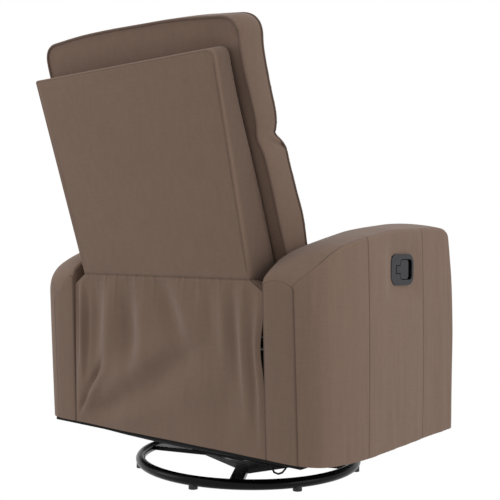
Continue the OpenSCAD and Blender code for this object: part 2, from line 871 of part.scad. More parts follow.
// Skirt that hangs between the arms, from the shell's lower edge to the hem
module rear_skirt() {
    low = body_z - seat_gap;
    high = shell_z - 2 * seat_gap;
    color(cloth) on_axis() slab(
        [for (j = [0:skirt_rows]) skirt_row(j / skirt_rows, low, high, 0)],
        [for (j = [0:skirt_rows]) skirt_row(j / skirt_rows, low, high, skirt_t)]);
}

// One row of the skirt's points, from the hem at share 0 to the top at 1
function skirt_row(s, low, high, t) = [for (i = [0:skirt_steps])
    let (u = 2 * i / skirt_steps - 1,
        drop = skirt_corner_drop * pow(abs(u), 12),
        fold = fold_d * (0.4 + 0.6 * (1 - s)) * (1 - pow(abs(u), 6)) * (1 - pow(s, 6))
            * (1 + sin(180 * fold_count * u)) / 2)
    [skirt_x * u, dust_back + seat_gap + t + fold
            + (shell_y - dust_back - skirt_t - 2 * seat_gap) * s,
        low + (high - drop - low) * s]];

// A rounded box with its depth along X
module rounded_box(x, y, z, d, l, h, r) {
    translate([x, y, z]) rotate([90, 0, 90]) linear_extrude(d)
        offset(r) square([l - 2 * r, h - 2 * r], center = true);
}

// Cup and flange that the release paddle sits in
module handle_bezel() {
    x = -bezel_x - flange_t;
    ear = handle_y + paddle_pin_y - paddle_l + paddle_bar_l + 2 * window_gap;
    tip = paddle_l - paddle_pin_y - handle_y + window_front;
    color(plastic) on_axis() difference() {
        union() {
            rounded_box(x, handle_y, handle_z, flange_t - seat_gap, bezel_l, bezel_h, bezel_round);
            rounded_box(-bezel_x - overrun, handle_y, handle_z, cup_d + overrun,
                bezel_l - 2 * bezel_wall, bezel_h - 2 * bezel_wall, cup_round);
        }
        rounded_box(x + bezel_skin, handle_y, handle_z,
            flange_t - bezel_skin + cup_d - bezel_wall,
            bezel_l - 4 * bezel_wall, bezel_h - 4 * bezel_wall, cup_round - bezel_wall);
        rounded_box(x - overrun, (ear - tip) / 2, handle_z, bezel_skin + 2 * overrun,
            ear + tip, paddle_h + 2 * window_gap, paddle_round + window_gap);
        translate([x - overrun, ear - paddle_round - 2 * window_gap,
            handle_z - paddle_stem_h / 2 - window_gap])
            cube([bezel_skin + 2 * overrun, handle_y + paddle_pin_y - ear + paddle_round,
                paddle_stem_h + 2 * window_gap]);
        translate([-bezel_x + paddle_t / 2, handle_y + paddle_pin_y,
            handle_z - paddle_h / 2 - 4 * bezel_wall])
            cylinder(h = paddle_h + 8 * bezel_wall, r = pin_small_r + weld_gap);
    }
}

// Upright pin that the paddle turns on
module handle_pin() {
    color(plated) on_axis()
        translate([-bezel_x + paddle_t / 2, handle_y + paddle_pin_y,
            handle_z - paddle_h / 2 - 3 * bezel_wall])
            cylinder(h = paddle_h + 6 * bezel_wall, r = pin_small_r);
}

// T-shaped release paddle
module handle_paddle() {
    x = -bezel_x - paddle_t / 2;
    y = handle_y + paddle_pin_y;
    color(plastic) on_axis() difference() {
        union() {
            translate([-bezel_x + paddle_t / 2, y, handle_z - paddle_h / 2])
                cylinder(h = paddle_h, r = barrel_r);
            translate([x - paddle_t / 2, y - paddle_l + paddle_round,
                handle_z - paddle_stem_h / 2])
                cube([paddle_t + paddle_t / 2, paddle_l - paddle_round - paddle_end,
                    paddle_stem_h]);
            translate([-bezel_x + paddle_t / 2 - barrel_r + paddle_web, y - paddle_end - paddle_web,
                handle_z - paddle_stem_h / 2])
                cube([barrel_r - paddle_web, paddle_end + paddle_web, paddle_stem_h]);
            rounded_box(x - paddle_t / 2, y - paddle_l + paddle_bar_l / 2, handle_z, paddle_t,
                paddle_bar_l, paddle_h, paddle_round);
        }
        translate([-bezel_x + paddle_t / 2, y, handle_z - paddle_h / 2 - overrun])
            cylinder(h = paddle_h + 2 * overrun, r = pin_small_r + bore_clear);
    }
}

// Cable from the handle down through the arm to the latch
module release_cable() {
    color(steel) on_axis() tube(cable_points, cable_r, cable_sides);
}

// Latch that frees the footrest
module release_latch() {
    color(steel) on_axis() mirror([1, 0, 0]) difference() {
        standing_plate(lane1_x, plate_t)
            bar_outline([latch_y, latch_z], [latch_y + latch_l, latch_z], latch_w);
        rod_x(lane1_x - overrun, latch_y, latch_z, plate_t + 2 * overrun, pin_r / 2 + bore_clear);
    }
}

// Pin that the latch turns on
module latch_pin() {
    color(plated) on_axis() mirror([1, 0, 0]) {
        rod_x(chassis_x, latch_y, latch_z, plate_t, pin_r);
        rod_x(chassis_x + plate_t, latch_y, latch_z, plate_t + 2 * side_clear, pin_r / 2);
        rod_x(lane2_x, latch_y, latch_z, head_t, pin_r);
    }
}

// Plates on the seat's side rails that carry the back's pivots
module back_hinge_plates() {
    color(steel) on_axis() both_sides() difference() {
        union() {
            translate([hinge_x, pivot_y - flange_h / 2, hinge_low])
                cube([plate_t, flange_h, pivot_z + flange_h / 2 - hinge_low]);
            translate([hinge_x, pivot_y - flange_h / 2, hinge_low])
                cube([rail_in - weld_gap - hinge_x, flange_h, plate_t]);
        }
        rod_x(hinge_x - overrun, pivot_y, pivot_z, plate_t + 2 * overrun, bolt_r + weld_gap);
    }
}

// Shoulder bolts of the back's pivots
module back_pivot_bolts() {
    color(plated) on_axis() both_sides() {
        rod_x(strap_x, pivot_y, pivot_z, 2 * plate_t + side_clear, bolt_r);
        rod_x(strap_x - side_clear - head_t, pivot_y, pivot_z, head_t + side_clear, bolt_r);
        rod_x(hinge_x + plate_t, pivot_y, pivot_z, head_t, head_r + bolt_r / 2);
    }
}

// Straps that run from the pivots up into the back
module back_brackets() {
    dy = pivot_y - shell_y;
    dz = pivot_z - shell_z;
    eye_share = 0.9;
    h = dy * sin(back_lean) + dz * cos(back_lean);
    d = dy * cos(back_lean) - dz * sin(back_lean);
    color(steel) on_axis() on_back() both_sides() difference() {
        standing_plate(strap_x, plate_t) {
            translate([d, h]) circle(eye_r);
            polygon([[d - eye_share * eye_r, h], [d + eye_share * eye_r, h],
                [-strap_d + strap_w / 2, h + 2 * eye_r], [-strap_d + strap_w / 2, strap_up],
                [-strap_d - strap_w / 2, strap_up], [-strap_d - strap_w / 2, h + 2 * eye_r]]);
        }
        rod_x(strap_x - overrun, d, h, plate_t + 2 * overrun, bolt_r + bore_clear);
    }
}

// A pair of footrest links between two pivots
module foot_links(x, a, b, ra, rb, mid = 0) {
    both_sides() difference() {
        link(x, ahead(a), ahead(b), foot_w, ra, rb);
        rod_x(x - overrun, -(a[0] + b[0]) / 2, (a[1] + b[1]) / 2, plate_t + 2 * overrun, mid);
    }
}

// Rivets through neighbouring lanes, flush or headed on the outside
module rivets(x, l, p, headed = true) {
    both_sides() {
        rod_x(x, -p[0], p[1], l, pin_r);
        if (headed) rod_x(x + l, -p[0], p[1], rivet_head_t, rivet_head_r);
    }
}

// Links from the fixed pivots down to the lift links
module foot_lower_links() {
    color(steel) on_axis() foot_links(lane1_x, pivot_p, pivot_e,
        pin_r + weld_gap, pin_r + weld_gap, pin_r + weld_gap);
}

// Links that slide in the side plates and carry the front links
module foot_cross_links() {
    color(steel) on_axis() foot_links(lane2_x, pivot_s, pivot_q,
        pin_r + weld_gap, pin_r + weld_gap, pin_r + bore_clear);
}

// Links from the cross links down to the front
module foot_front_links() {
    color(steel) on_axis() foot_links(lane1_x, pivot_q, pivot_b,
        pin_r + bore_clear, pin_r + bore_clear, pin_r + weld_gap);
}

// Links from the lower links up to the footrest
module foot_lift_links() {
    color(steel) on_axis() foot_links(lane2_x, pivot_e, pivot_r,
        pin_r + bore_clear, pin_r + weld_gap, pin_r + free_clear);
}

// Rivets fixed in the lower links
module foot_lower_rivets() {
    color(plated) on_axis() {
        both_sides() rod_x(chassis_x, -pivot_p[0], pivot_p[1], 2 * plate_t + side_clear, pin_r);
        rivets(lane1_x, 2 * plate_t + side_clear, pivot_m1);
        rivets(lane1_x, 2 * plate_t + side_clear, pivot_e);
    }
}

// Rivets fixed in the cross links
module foot_cross_rivets() {
    color(plated) on_axis() {
        rivets(chassis_x, 3 * plate_t + 2 * side_clear, pivot_s);
        rivets(lane1_x, 2 * plate_t + side_clear, pivot_q);
    }
}

// Rivets fixed in the front links
module foot_front_rivets() {
    color(plated) on_axis() rivets(lane1_x, 2 * plate_t + side_clear, pivot_m2);
}

// Rivets fixed in the lift links
module foot_lift_rivets() {
    color(plated) on_axis() rivets(lane2_x, 2 * plate_t + side_clear, pivot_r);
}

// Brackets that hold the board to the lift links
module footrest_brackets() {
    color(steel) on_axis() both_sides() difference() {
        union() {
            standing_plate(lane3_x, plate_t) {
                translate(ahead(pivot_r)) circle(d = foot_w);
                translate([-board_u + weld_gap, foot_z - foot_w / 2])
                    square([board_u - weld_gap - pivot_r[0], foot_w]);
                translate([-board_u + weld_gap, foot_z - bracket_l])
                    square([bracket_w, bracket_l + foot_w / 2 - side_clear]);
            }
            translate([lane3_x, -board_u + weld_gap, foot_z - bracket_l])
                cube([foot_w, plate_t, bracket_l]);
        }
        rod_x(lane3_x - overrun, -pivot_r[0], pivot_r[1], plate_t + 2 * overrun, pin_r + bore_clear);
    }
}

// Stiff board behind the footrest's pad
module footrest_board() {
    color(wood) on_axis() translate([-board_x, -board_u - board_t, board_low])
        cube([2 * board_x, board_t, board_top - board_low]);
}

// Padded face of the footrest
module footrest_pad() {
    us = spread(16);
    vs = spread(12);
    hw = board_x + pad_margin;
    low = board_low - pad_margin / 3;
    high = board_top + pad_margin;
    face = board_u + board_t + seat_gap;
    corner_share = 0.03;
    color(cloth) on_axis() slab(
        [for (v = vs) [for (u = us) pad_point(u, v, hw, low, high, face, corner_share)]],
        [for (v = vs) [for (u = us) pad_point(u, v, hw, low, high,
            face + pad_t + pad_crown * swell(u) * swell(v), corner_share)]]);
}

// A point of the footrest pad
function pad_point(u, v, hw, low, high, d, corner) = [
    hw * u * (1 - corner * pow(abs(v), 8)), -d,
    (low + high) / 2 + (high - low) / 2 * v * (1 - corner * pow(abs(u), 8))];

base_ring();
base_arms();
hub_plate();
floor_glides();
swivel_bolt();
swivel_lower_race();
bearing_cage();
bearing_balls();
swivel_upper_race();
turntable_plate();
glider_crossmembers();
glider_uprights();
link_top_pins();
front_swing_links();
rear_swing_links();
mechanism_side_plates();
link_bottom_pins();
cross_tubes();
seat_side_rails();
seat_front_rail();
seat_rear_rail();
seat_springs();
seat_cushion();
left_arm();
right_arm();
arm_frames();
arm_bolts();
dust_rails();
rear_skirt();
handle_bezel();
handle_pin();
handle_paddle();
release_cable();
release_latch();
latch_pin();
back_hinge_plates();
back_pivot_bolts();
back_brackets();
back_shell();
back_cushion();
foot_lower_links();
foot_cross_links();
foot_front_links();
foot_lift_links();
foot_lower_rivets();
foot_cross_rivets();
foot_front_rivets();
foot_lift_rivets();
footrest_brackets();
footrest_board();
footrest_pad();
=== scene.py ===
"""Looks of the swivel glider recliner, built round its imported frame."""

import logging
import math
from dataclasses import dataclass, field
from enum import Enum
from typing import Callable, ClassVar, Dict, List, Optional, Sequence, Tuple, Union

import bpy
import numpy as np
from mathutils import Matrix, Vector, noise

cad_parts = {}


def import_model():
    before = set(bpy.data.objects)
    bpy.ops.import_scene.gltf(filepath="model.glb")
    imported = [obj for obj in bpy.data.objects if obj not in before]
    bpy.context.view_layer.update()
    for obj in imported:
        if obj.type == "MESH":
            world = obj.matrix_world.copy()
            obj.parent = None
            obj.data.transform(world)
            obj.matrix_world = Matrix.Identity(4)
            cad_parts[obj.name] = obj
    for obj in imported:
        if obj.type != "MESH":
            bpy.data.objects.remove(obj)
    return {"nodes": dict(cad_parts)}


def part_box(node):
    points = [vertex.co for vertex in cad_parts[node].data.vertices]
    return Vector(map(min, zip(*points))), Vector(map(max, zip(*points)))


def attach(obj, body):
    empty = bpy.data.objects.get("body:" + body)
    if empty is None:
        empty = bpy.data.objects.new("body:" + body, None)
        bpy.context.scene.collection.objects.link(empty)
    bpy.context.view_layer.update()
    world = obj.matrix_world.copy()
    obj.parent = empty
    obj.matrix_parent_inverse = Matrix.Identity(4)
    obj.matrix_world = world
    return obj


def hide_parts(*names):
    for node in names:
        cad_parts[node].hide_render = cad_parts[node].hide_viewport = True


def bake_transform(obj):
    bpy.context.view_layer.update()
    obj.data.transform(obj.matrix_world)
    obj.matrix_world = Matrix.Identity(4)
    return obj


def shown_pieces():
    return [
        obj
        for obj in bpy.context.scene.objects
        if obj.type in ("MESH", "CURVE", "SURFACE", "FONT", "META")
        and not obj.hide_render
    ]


LOG = logging.getLogger("recliner")
MM = 0.001

Array = np.ndarray
Triple = Tuple[float, float, float]
Socket = bpy.types.NodeSocket


class Look(Enum):
    """Names of the finishes on the chair."""

    LINEN = "linen"
    # The welt finishes are the linen made darker, as painted shade of the small cords.
    WELT = "welt"
    SHADED_CORD = "rear_welt"
    STEEL = "satin_black_steel"
    PLATED = "plated_steel"
    WOOD = "frame_wood"
    PLASTIC = "grey_plastic"
    GLIDE = "glide_plastic"
    LINER = "dust_cloth"
    CABLE = "cable_sheath"
    THREAD = "stitch_thread"


@dataclass(frozen=True)
class Finish:
    """One surface finish.

    Attributes:
        colour: Linear base colour.
        roughness: Middle roughness.
        metallic: Share of metal.
        sheen: Strength of the cloth's sheen.
        grain: Size of the finest grain, in metres.
        bump: Height of the grain, in metres.
        shine: Strength of a hard surface's reflection.
    """

    colour: Triple
    roughness: float
    metallic: float = 0.0
    sheen: float = 0.0
    grain: float = 0.001
    bump: float = 0.0002
    shine: float = 0.3


FINISHES: Dict[Look, Finish] = {
    Look.LINEN: Finish((0.191, 0.1265, 0.0935), 0.9, sheen=0.14, grain=0.0009, bump=0.00022),
    # The two welt finishes are the linen darkened: painted shade of the cords.
    Look.WELT: Finish((0.105, 0.070, 0.053), 0.88, sheen=0.1, grain=0.0009, bump=0.00022),
    Look.SHADED_CORD: Finish((0.135, 0.090, 0.068), 0.88, sheen=0.1, grain=0.0009, bump=0.00022),
    Look.STEEL: Finish((0.0025, 0.0025, 0.003), 0.25, grain=0.0008, bump=0.00004, shine=0.12),
    Look.PLATED: Finish((0.42, 0.42, 0.43), 0.33, metallic=1.0, grain=0.0006, bump=0.00002),
    Look.WOOD: Finish((0.42, 0.27, 0.14), 0.62, grain=0.0015, bump=0.0001),
    Look.PLASTIC: Finish((0.030, 0.030, 0.034), 0.5, grain=0.0007, bump=0.00005, shine=0.2),
    Look.GLIDE: Finish((0.02, 0.02, 0.021), 0.45, grain=0.001, bump=0.00003),
    Look.LINER: Finish((0.012, 0.012, 0.012), 0.95, grain=0.0012, bump=0.0002),
    Look.CABLE: Finish((0.006, 0.006, 0.007), 0.42, grain=0.0015, bump=0.00003, shine=0.08),
    Look.THREAD: Finish((0.16, 0.115, 0.09), 0.8, grain=0.0004, bump=0.00005),
}


@dataclass(frozen=True)
class Fold:
    """A soft ridge or valley of cloth along a line.

    Attributes:
        start: First end, in the panel's own two coordinates, in metres.
        end: Second end.
        width: Half width of the fold.
        height: Height of the ridge, below zero for a valley.
        skew: How much steeper one side is than the other.
    """

    start: Tuple[float, float]
    end: Tuple[float, float]
    width: float
    height: float
    skew: float = 0.0

    def lift(self, a: Array, b: Array) -> Array:
        """Height of the fold at points of the panel.

        Args:
            a: First coordinate of the points.
            b: Second coordinate of the points.

        Returns:
            The height at each point, in metres.
        """
        start, end = np.array(self.start), np.array(self.end)
        along = end - start
        length = np.linalg.norm(along)
        unit = along / length
        da, db = a - start[0], b - start[1]
        run = (da * unit[0] + db * unit[1]) / length
        off = -da * unit[1] + db * unit[0]
        width = self.width * (1 + self.skew * np.tanh(off / self.width))
        over = np.clip(np.maximum(-run, run - 1), 0, None) * length
        swell = np.sin(math.pi * np.clip(run, 0, 1))
        ends = np.exp(-(over / (1.5 * self.width)) ** 2) * (0.3 + 0.7 * swell)
        return self.height * np.exp(-(off / width) ** 2) * ends


def smooth_curve(x: Sequence[float], y: Sequence[float], at: Array) -> Array:
    """A curve without overshoot through points.

    Args:
        x: Rising positions of the points.
        y: Values of the points.
        at: Positions to read.

    Returns:
        The curve's values at those positions.
    """
    x, y, at = np.asarray(x, float), np.asarray(y, float), np.asarray(at, float)
    step = np.diff(x)
    slope = np.diff(y) / step
    tangent = np.zeros(len(x))
    same = slope[:-1] * slope[1:] > 0
    tangent[1:-1][same] = 2 / (1 / slope[:-1][same] + 1 / slope[1:][same])
    tangent[0], tangent[-1] = slope[0], slope[-1]
    k = np.clip(np.searchsorted(x, at) - 1, 0, len(step) - 1)
    s = (at - x[k]) / step[k]
    return (
        y[k] * (1 + 2 * s) * (1 - s) ** 2
        + tangent[k] * step[k] * s * (1 - s) ** 2
        + y[k + 1] * s * s * (3 - 2 * s)
        + tangent[k + 1] * step[k] * s * s * (s - 1)
    )


def ripple(points: Array, scale: Triple, seed: float) -> Array:
    """Smooth noise at points.

    Args:
        points: Points, one a row.
        scale: Waves a metre along each axis.
        seed: Shift that gives another pattern.

    Returns:
        Noise between about -1 and 1 at each point.
    """
    scaled = points * np.array(scale) + seed
    return np.array([noise.noise(Vector(p)) for p in scaled])


def grid_faces(rows: int, cols: int, start: int = 0, closed: bool = False,
               flip: bool = False) -> List[Tuple[int, ...]]:
    """Faces of a grid of points.

    Args:
        rows: Rows of points.
        cols: Points in a row.
        start: Number of the grid's first point.
        closed: Whether each row closes on itself.
        flip: Whether the faces point the other way.

    Returns:
        The faces, four points each.
    """
    faces = []
    for j in range(rows - 1):
        for i in range(cols if closed else cols - 1):
            k = (i + 1) % cols
            quad = (start + j * cols + i, start + j * cols + k,
                    start + (j + 1) * cols + k, start + (j + 1) * cols + i)
            faces.append(quad[::-1] if flip else quad)
    return faces


def add_mesh(name: str, points: Array, faces: Sequence[Sequence[int]],
             material: bpy.types.Material, seam: Optional[Array] = None) -> bpy.types.Object:
    """Makes a smooth mesh object.

    Args:
        name: Name of the object.
        points: Points in the frame, in metres.
        faces: Faces as point numbers.
        material: The object's material.
        seam: How dark each point is painted, from 0 to 1: near 1 on a seam, lower values as painted shade
            over whole panels.

    Returns:
        The object, linked to the scene.
    """
    mesh = bpy.data.meshes.new(name)
    mesh.from_pydata([tuple(p) for p in points], [], [tuple(f) for f in faces])
    attribute = mesh.attributes.new("seam", "FLOAT", "POINT")
    if seam is not None:
        attribute.data.foreach_set("value", np.asarray(seam, np.float32))
    mesh.materials.append(material)
    mesh.validate()
    mesh.shade_smooth()
    mesh.update()
    obj = bpy.data.objects.new(name, mesh)
    bpy.context.scene.collection.objects.link(obj)
    return obj


# A direction that no welt runs along, from which each welt's section is turned.
SWEEP_UP = np.array([0.13, 0.21, 0.97])


def sweep(route: Array, radius: float, sides: int) -> Tuple[Array, List]:
    """A tube along a closed route.

    Args:
        route: Points of the route, one a row.
        radius: The tube's radius.
        sides: Points round the tube.

    Returns:
        The tube's points and faces.
    """
    tangent = np.roll(route, -1, 0) - np.roll(route, 1, 0)
    tangent /= np.linalg.norm(tangent, axis=1)[:, None]
    side = np.cross(tangent, SWEEP_UP)
    side /= np.linalg.norm(side, axis=1)[:, None]
    over = np.cross(side, tangent)
    turn = np.linspace(0, 2 * math.pi, sides, endpoint=False)[None, :, None]
    points = route[:, None] + radius * (np.cos(turn) * side[:, None] + np.sin(turn) * over[:, None])
    faces = grid_faces(len(route), sides, closed=True)
    last = (len(route) - 1) * sides
    faces += [(last + i, last + (i + 1) % sides, (i + 1) % sides, i) for i in range(sides)]
    return points.reshape(-1, 3), faces


class ShaderTree:
    """A tree of shader nodes, with short ways to add and join them."""

    def __init__(self, tree: bpy.types.NodeTree) -> None:
        """Empties the tree.

        Args:
            tree: The node tree.
        """
        self.tree = tree
        tree.nodes.clear()

    def add(self, kind: str, **values: object) -> bpy.types.Node:
        """Adds a node.

        Args:
            kind: The node's type, without the words ShaderNode.
            values: Its properties and input values by name.

        Returns:
            The node.
        """
        node = self.tree.nodes.new("ShaderNode" + kind)
        for key, value in values.items():
            if key in node.bl_rna.properties:
                setattr(node, key, value)
            else:
                node.inputs[key.replace("_", " ")].default_value = value
        return node

    def join(self, a: Socket, b: Socket) -> None:
        """Links an output to an input."""
        self.tree.links.new(a, b)

    def combine(self, operation: str, a: Socket, b: Socket) -> Socket:
        """Works out one value from two.

        Args:
            operation: What is done with them, such as ADD.
            a: First value.
            b: Second value.

        Returns:
            The result.
        """
        node = self.add("Math", operation=operation)
        self.join(a, node.inputs[0])
        self.join(b, node.inputs[1])
        return node.outputs[0]


class SurfaceTree(ShaderTree):
    """A new material's tree, which ends in one plain surface."""

    def __init__(self, name: str) -> None:
        """Makes the material.

        Args:
            name: The material's name.
        """
        self.material = bpy.data.materials.new(name)
        self.material.use_nodes = True
        super().__init__(self.material.node_tree)
        out = self.add("OutputMaterial")
        self.shade = self.add("BsdfPrincipled")
        self.join(self.shade.outputs["BSDF"], out.inputs["Surface"])
        self.where = self.add("TexCoord").outputs["Object"]

    def pattern(self, stretch: Triple, scale: float, detail: float, rough: float = 0.5) -> Socket:
        """Adds noise over the piece's own coordinates.

        Args:
            stretch: Share of the scale along each axis, so a small one makes streaks.
            scale: Waves a metre.
            detail: Layers of finer noise.
            rough: Strength of each finer layer.

        Returns:
            The noise, from 0 to 1.
        """
        place = self.add("Mapping", Scale=stretch)
        self.join(self.where, place.inputs["Vector"])
        texture = self.add("TexNoise", Scale=scale, Detail=detail, Roughness=rough)
        self.join(place.outputs["Vector"], texture.inputs["Vector"])
        return texture.outputs["Fac"]

    def scale_add(self, value: Socket, gain: float, base: Union[float, Socket]) -> Socket:
        """Multiplies a value and adds to it.

        Args:
            value: The value.
            gain: What it is multiplied by.
            base: What is added, a number or a socket.

        Returns:
            The result.
        """
        node = self.add("Math", operation="MULTIPLY_ADD")
        self.join(value, node.inputs[0])
        node.inputs[1].default_value = gain
        if isinstance(base, float):
            node.inputs[2].default_value = base
        else:
            self.join(base, node.inputs[2])
        return node.outputs[0]

    def tint(self, colour: Union[Triple, Socket], strength: Socket) -> Socket:
        """Multiplies a colour.

        Args:
            colour: The colour, as three numbers or a socket.
            strength: What it is multiplied by.

        Returns:
            The new colour.
        """
        node = self.add("VectorMath", operation="SCALE")
        if isinstance(colour, tuple):
            node.inputs[0].default_value = colour
        else:
            self.join(colour, node.inputs[0])
        self.join(strength, node.inputs["Scale"])
        return node.outputs[0]

    def spread(self, value: Socket, source: Tuple[float, float], target: Tuple[float, float]) -> Socket:
        """Maps a value from one range to another.

        Args:
            value: The value.
            source: The range that it comes in.
            target: The range that it is given.

        Returns:
            The mapped value.
        """
        node = self.add("MapRange", From_Min=source[0], From_Max=source[1],
                        To_Min=target[0], To_Max=target[1])
        self.join(value, node.inputs["Value"])
        return node.outputs["Result"]

    def complete(self, colour: Socket, height: Socket, strength: float, distance: float,
                 **values: float) -> bpy.types.Material:
        """Gives the surface its colour, its bumps and its plain values.

        Args:
            colour: The colour.
            height: The pattern of the bumps.
            strength: Strength of the bumps.
            distance: Height of the bumps, in metres.
            values: The surface's other inputs by name.

        Returns:
            The finished material.
        """
        bump = self.add("Bump", Strength=strength, Distance=distance)
        self.join(height, bump.inputs["Height"])
        self.join(bump.outputs["Normal"], self.shade.inputs["Normal"])
        self.join(colour, self.shade.inputs["Base Color"])
        for key, value in values.items():
            self.shade.inputs[key.replace("_", " ")].default_value = value
        return self.material


class Materials:
    """Makes each finish once, as shader nodes."""

    CLOTHS = frozenset({Look.LINEN, Look.WELT, Look.SHADED_CORD, Look.LINER, Look.THREAD})

    def __init__(self) -> None:
        """Starts with no material made."""
        self._made: Dict[Look, bpy.types.Material] = {}

    def get(self, look: Look) -> bpy.types.Material:
        """Gives a finish's material, made on first use.

        Args:
            look: The finish.

        Returns:
            Its material.
        """
        if look not in self._made:
            make = self._cloth if look in self.CLOTHS else self._hard
            self._made[look] = make(look, FINISHES[look])
        return self._made[look]

    def _cloth(self, look: Look, finish: Finish) -> bpy.types.Material:
        """Makes woven cloth with slubs, melange, sheen, dark seams and painted shade, the last two read
        from the seam attribute.

        Args:
            look: The finish's name.
            finish: The finish.

        Returns:
            The material.
        """
        tree = SurfaceTree(look.value)
        fine, rough = 0.55 / finish.grain, 0.6
        upright = tree.pattern((1, 1, 0.06), fine, 2, rough)
        level = tree.pattern((0.08, 0.08, 1), fine, 2, rough)
        slub = tree.pattern((1, 1, 0.1), 90, 3, rough)
        cloudy = tree.pattern((1, 1, 1), 7, 3, rough)
        threads = tree.combine("ADD", upright, level)
        tone = tree.scale_add(threads, 0.2, 0.8)
        tone = tree.scale_add(slub, 0.2, tone)
        tone = tree.scale_add(cloudy, 0.12, tone)
        # The seam attribute darkens the cloth, on seam lines and as painted shade over some panels.
        seam = tree.add("Attribute", attribute_name="seam").outputs["Fac"]
        light = tree.scale_add(seam, -0.5, 0.9)
        colour = tree.tint(finish.colour, tree.combine("MULTIPLY", tone, light))
        return tree.complete(colour, threads, 0.7, finish.bump, Roughness=finish.roughness,
                             Sheen_Weight=finish.sheen, Sheen_Roughness=0.45, Specular_IOR_Level=0.2)

    def _hard(self, look: Look, finish: Finish) -> bpy.types.Material:
        """Makes metal, plastic or wood with fine grain and uneven roughness; the plastic gets painted shade
        in the handle's cup.

        Args:
            look: The finish's name.
            finish: The finish.

        Returns:
            The material.
        """
        tree = SurfaceTree(look.value)
        wood = look is Look.WOOD
        stretch = (0.08, 1, 1) if wood else (1, 1, 1)
        grain = tree.pattern(stretch, 0.5 / finish.grain, 3)
        smudge = tree.pattern(stretch, 60 if wood else 14, 4)
        tone = tree.scale_add(smudge, 0.9, 0.55) if wood else tree.scale_add(smudge, 0.3, 0.85)
        colour = tree.tint(finish.colour, tone)
        # The plastic gets painted shade in the handle's cup.
        if look is Look.PLASTIC:
            colour = self._paint_cup_shade(tree, colour)
        rough = tree.spread(smudge, (0, 1), (finish.roughness * 0.82, finish.roughness * 1.18))
        tree.join(rough, tree.shade.inputs["Roughness"])
        return tree.complete(colour, grain, 0.6, finish.bump, Metallic=finish.metallic,
                             Specular_IOR_Level=finish.shine)

    @staticmethod
    def _paint_cup_shade(tree: SurfaceTree, colour: Socket) -> Socket:
        """Paints shade into the handle's cup, which lies deeper than its rim.

        Args:
            tree: The plastic's tree.
            colour: The plastic's colour.

        Returns:
            The colour, with painted shade in the cup.
        """
        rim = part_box("handle_bezel")[0].x
        split = tree.add("SeparateXYZ")
        tree.join(tree.where, split.inputs[0])
        shadow = tree.spread(split.outputs["X"], (rim + 2.3 * MM, rim + 3.2 * MM), (1.0, 0.08))
        return tree.tint(colour, shadow)


@dataclass
class Ring:
    """One ring of a padded form.

    Attributes:
        scale: Share of the outline's size, from its middle.
        depth: Depth of the ring, from its points and its scale at each, in metres.
        seam: How dark the ring's cloth is painted; high on a seam line, lower where it is painted shade
            over a panel.
    """

    scale: float
    depth: Callable[[Array, Array], Array]
    seam: float = 0.0


def level_ring(scale: float, depth: float, seam: float = 0.0) -> Ring:
    """A ring at one depth.

    Args:
        scale: Share of the outline's size.
        depth: Its depth, in metres.
        seam: How dark it is painted; high on a seam line, lower where it is painted shade.

    Returns:
        The ring.
    """
    return Ring(scale, lambda flat, share: depth + 0 * share, seam)


def trimmed(points: Array, first: float, last: float) -> Array:
    """Cuts lengths off both ends of a line.

    Args:
        points: Points of the line, two numbers a row.
        first: Length cut off its start.
        last: Length cut off its end.

    Returns:
        Points of what is left.
    """
    run = np.concatenate([[0], np.cumsum(np.linalg.norm(np.diff(points, axis=0), axis=1))])
    at = np.linspace(first, run[-1] - last, len(points))
    return np.stack([np.interp(at, run, points[:, 0]), np.interp(at, run, points[:, 1])], 1)


# Points along each side of an outline, and along each corner with its two ends.
SIDE_POINTS = 90
CORNER_POINTS = 14


def rounded_outline(half: Callable[[Array], Array], low: float, high: Callable[[Array], Array],
                    radius_low: float, radius_high: float, count: int = 240,
                    radius_other: Optional[float] = None) -> Array:
    """A rounded rectangle's outline, evenly spaced.

    Args:
        half: Half width at each height.
        low: Height of the lower side.
        high: Height of the upper side at each share of the width.
        radius_low: Reach of the lower corners' curves.
        radius_high: Reach of the upper corners' curves.
        count: Points on the outline.
        radius_other: Reach of the upper corner on the handle's side, if it differs.

    Returns:
        Points of the outline, two numbers a row.
    """
    other = radius_high if radius_other is None else radius_other
    heights = np.linspace(low, high(np.array([1.0]))[0], SIDE_POINTS)
    right = np.stack([half(heights), heights], 1)
    across = np.linspace(1, -1, SIDE_POINTS)
    top = np.stack([across * right[-1, 0], high(across)], 1)
    foot = np.stack([-across * right[0, 0], np.full(SIDE_POINTS, low)], 1)
    sides = [right, top, right[::-1] * [-1, 1], foot]
    reach = [radius_high, other, radius_low, radius_low]
    cut = [trimmed(side, reach[k - 1], reach[k]) for k, side in enumerate(sides)]
    turn = np.linspace(0, 1, CORNER_POINTS)[1:-1, None]
    pieces = []
    for k, side in enumerate(cut):
        corner, after = sides[k][-1], cut[(k + 1) % 4][0]
        curve = (1 - turn) ** 2 * side[-1] + 2 * turn * (1 - turn) * corner + turn ** 2 * after
        pieces += [side, curve]
    loop = np.vstack(pieces + [pieces[0][:1]])
    run = np.concatenate([[0], np.cumsum(np.linalg.norm(np.diff(loop, axis=0), axis=1))])
    at = np.linspace(0, run[-1], count, endpoint=False)
    return np.stack([np.interp(at, run, loop[:, 0]), np.interp(at, run, loop[:, 1])], 1)


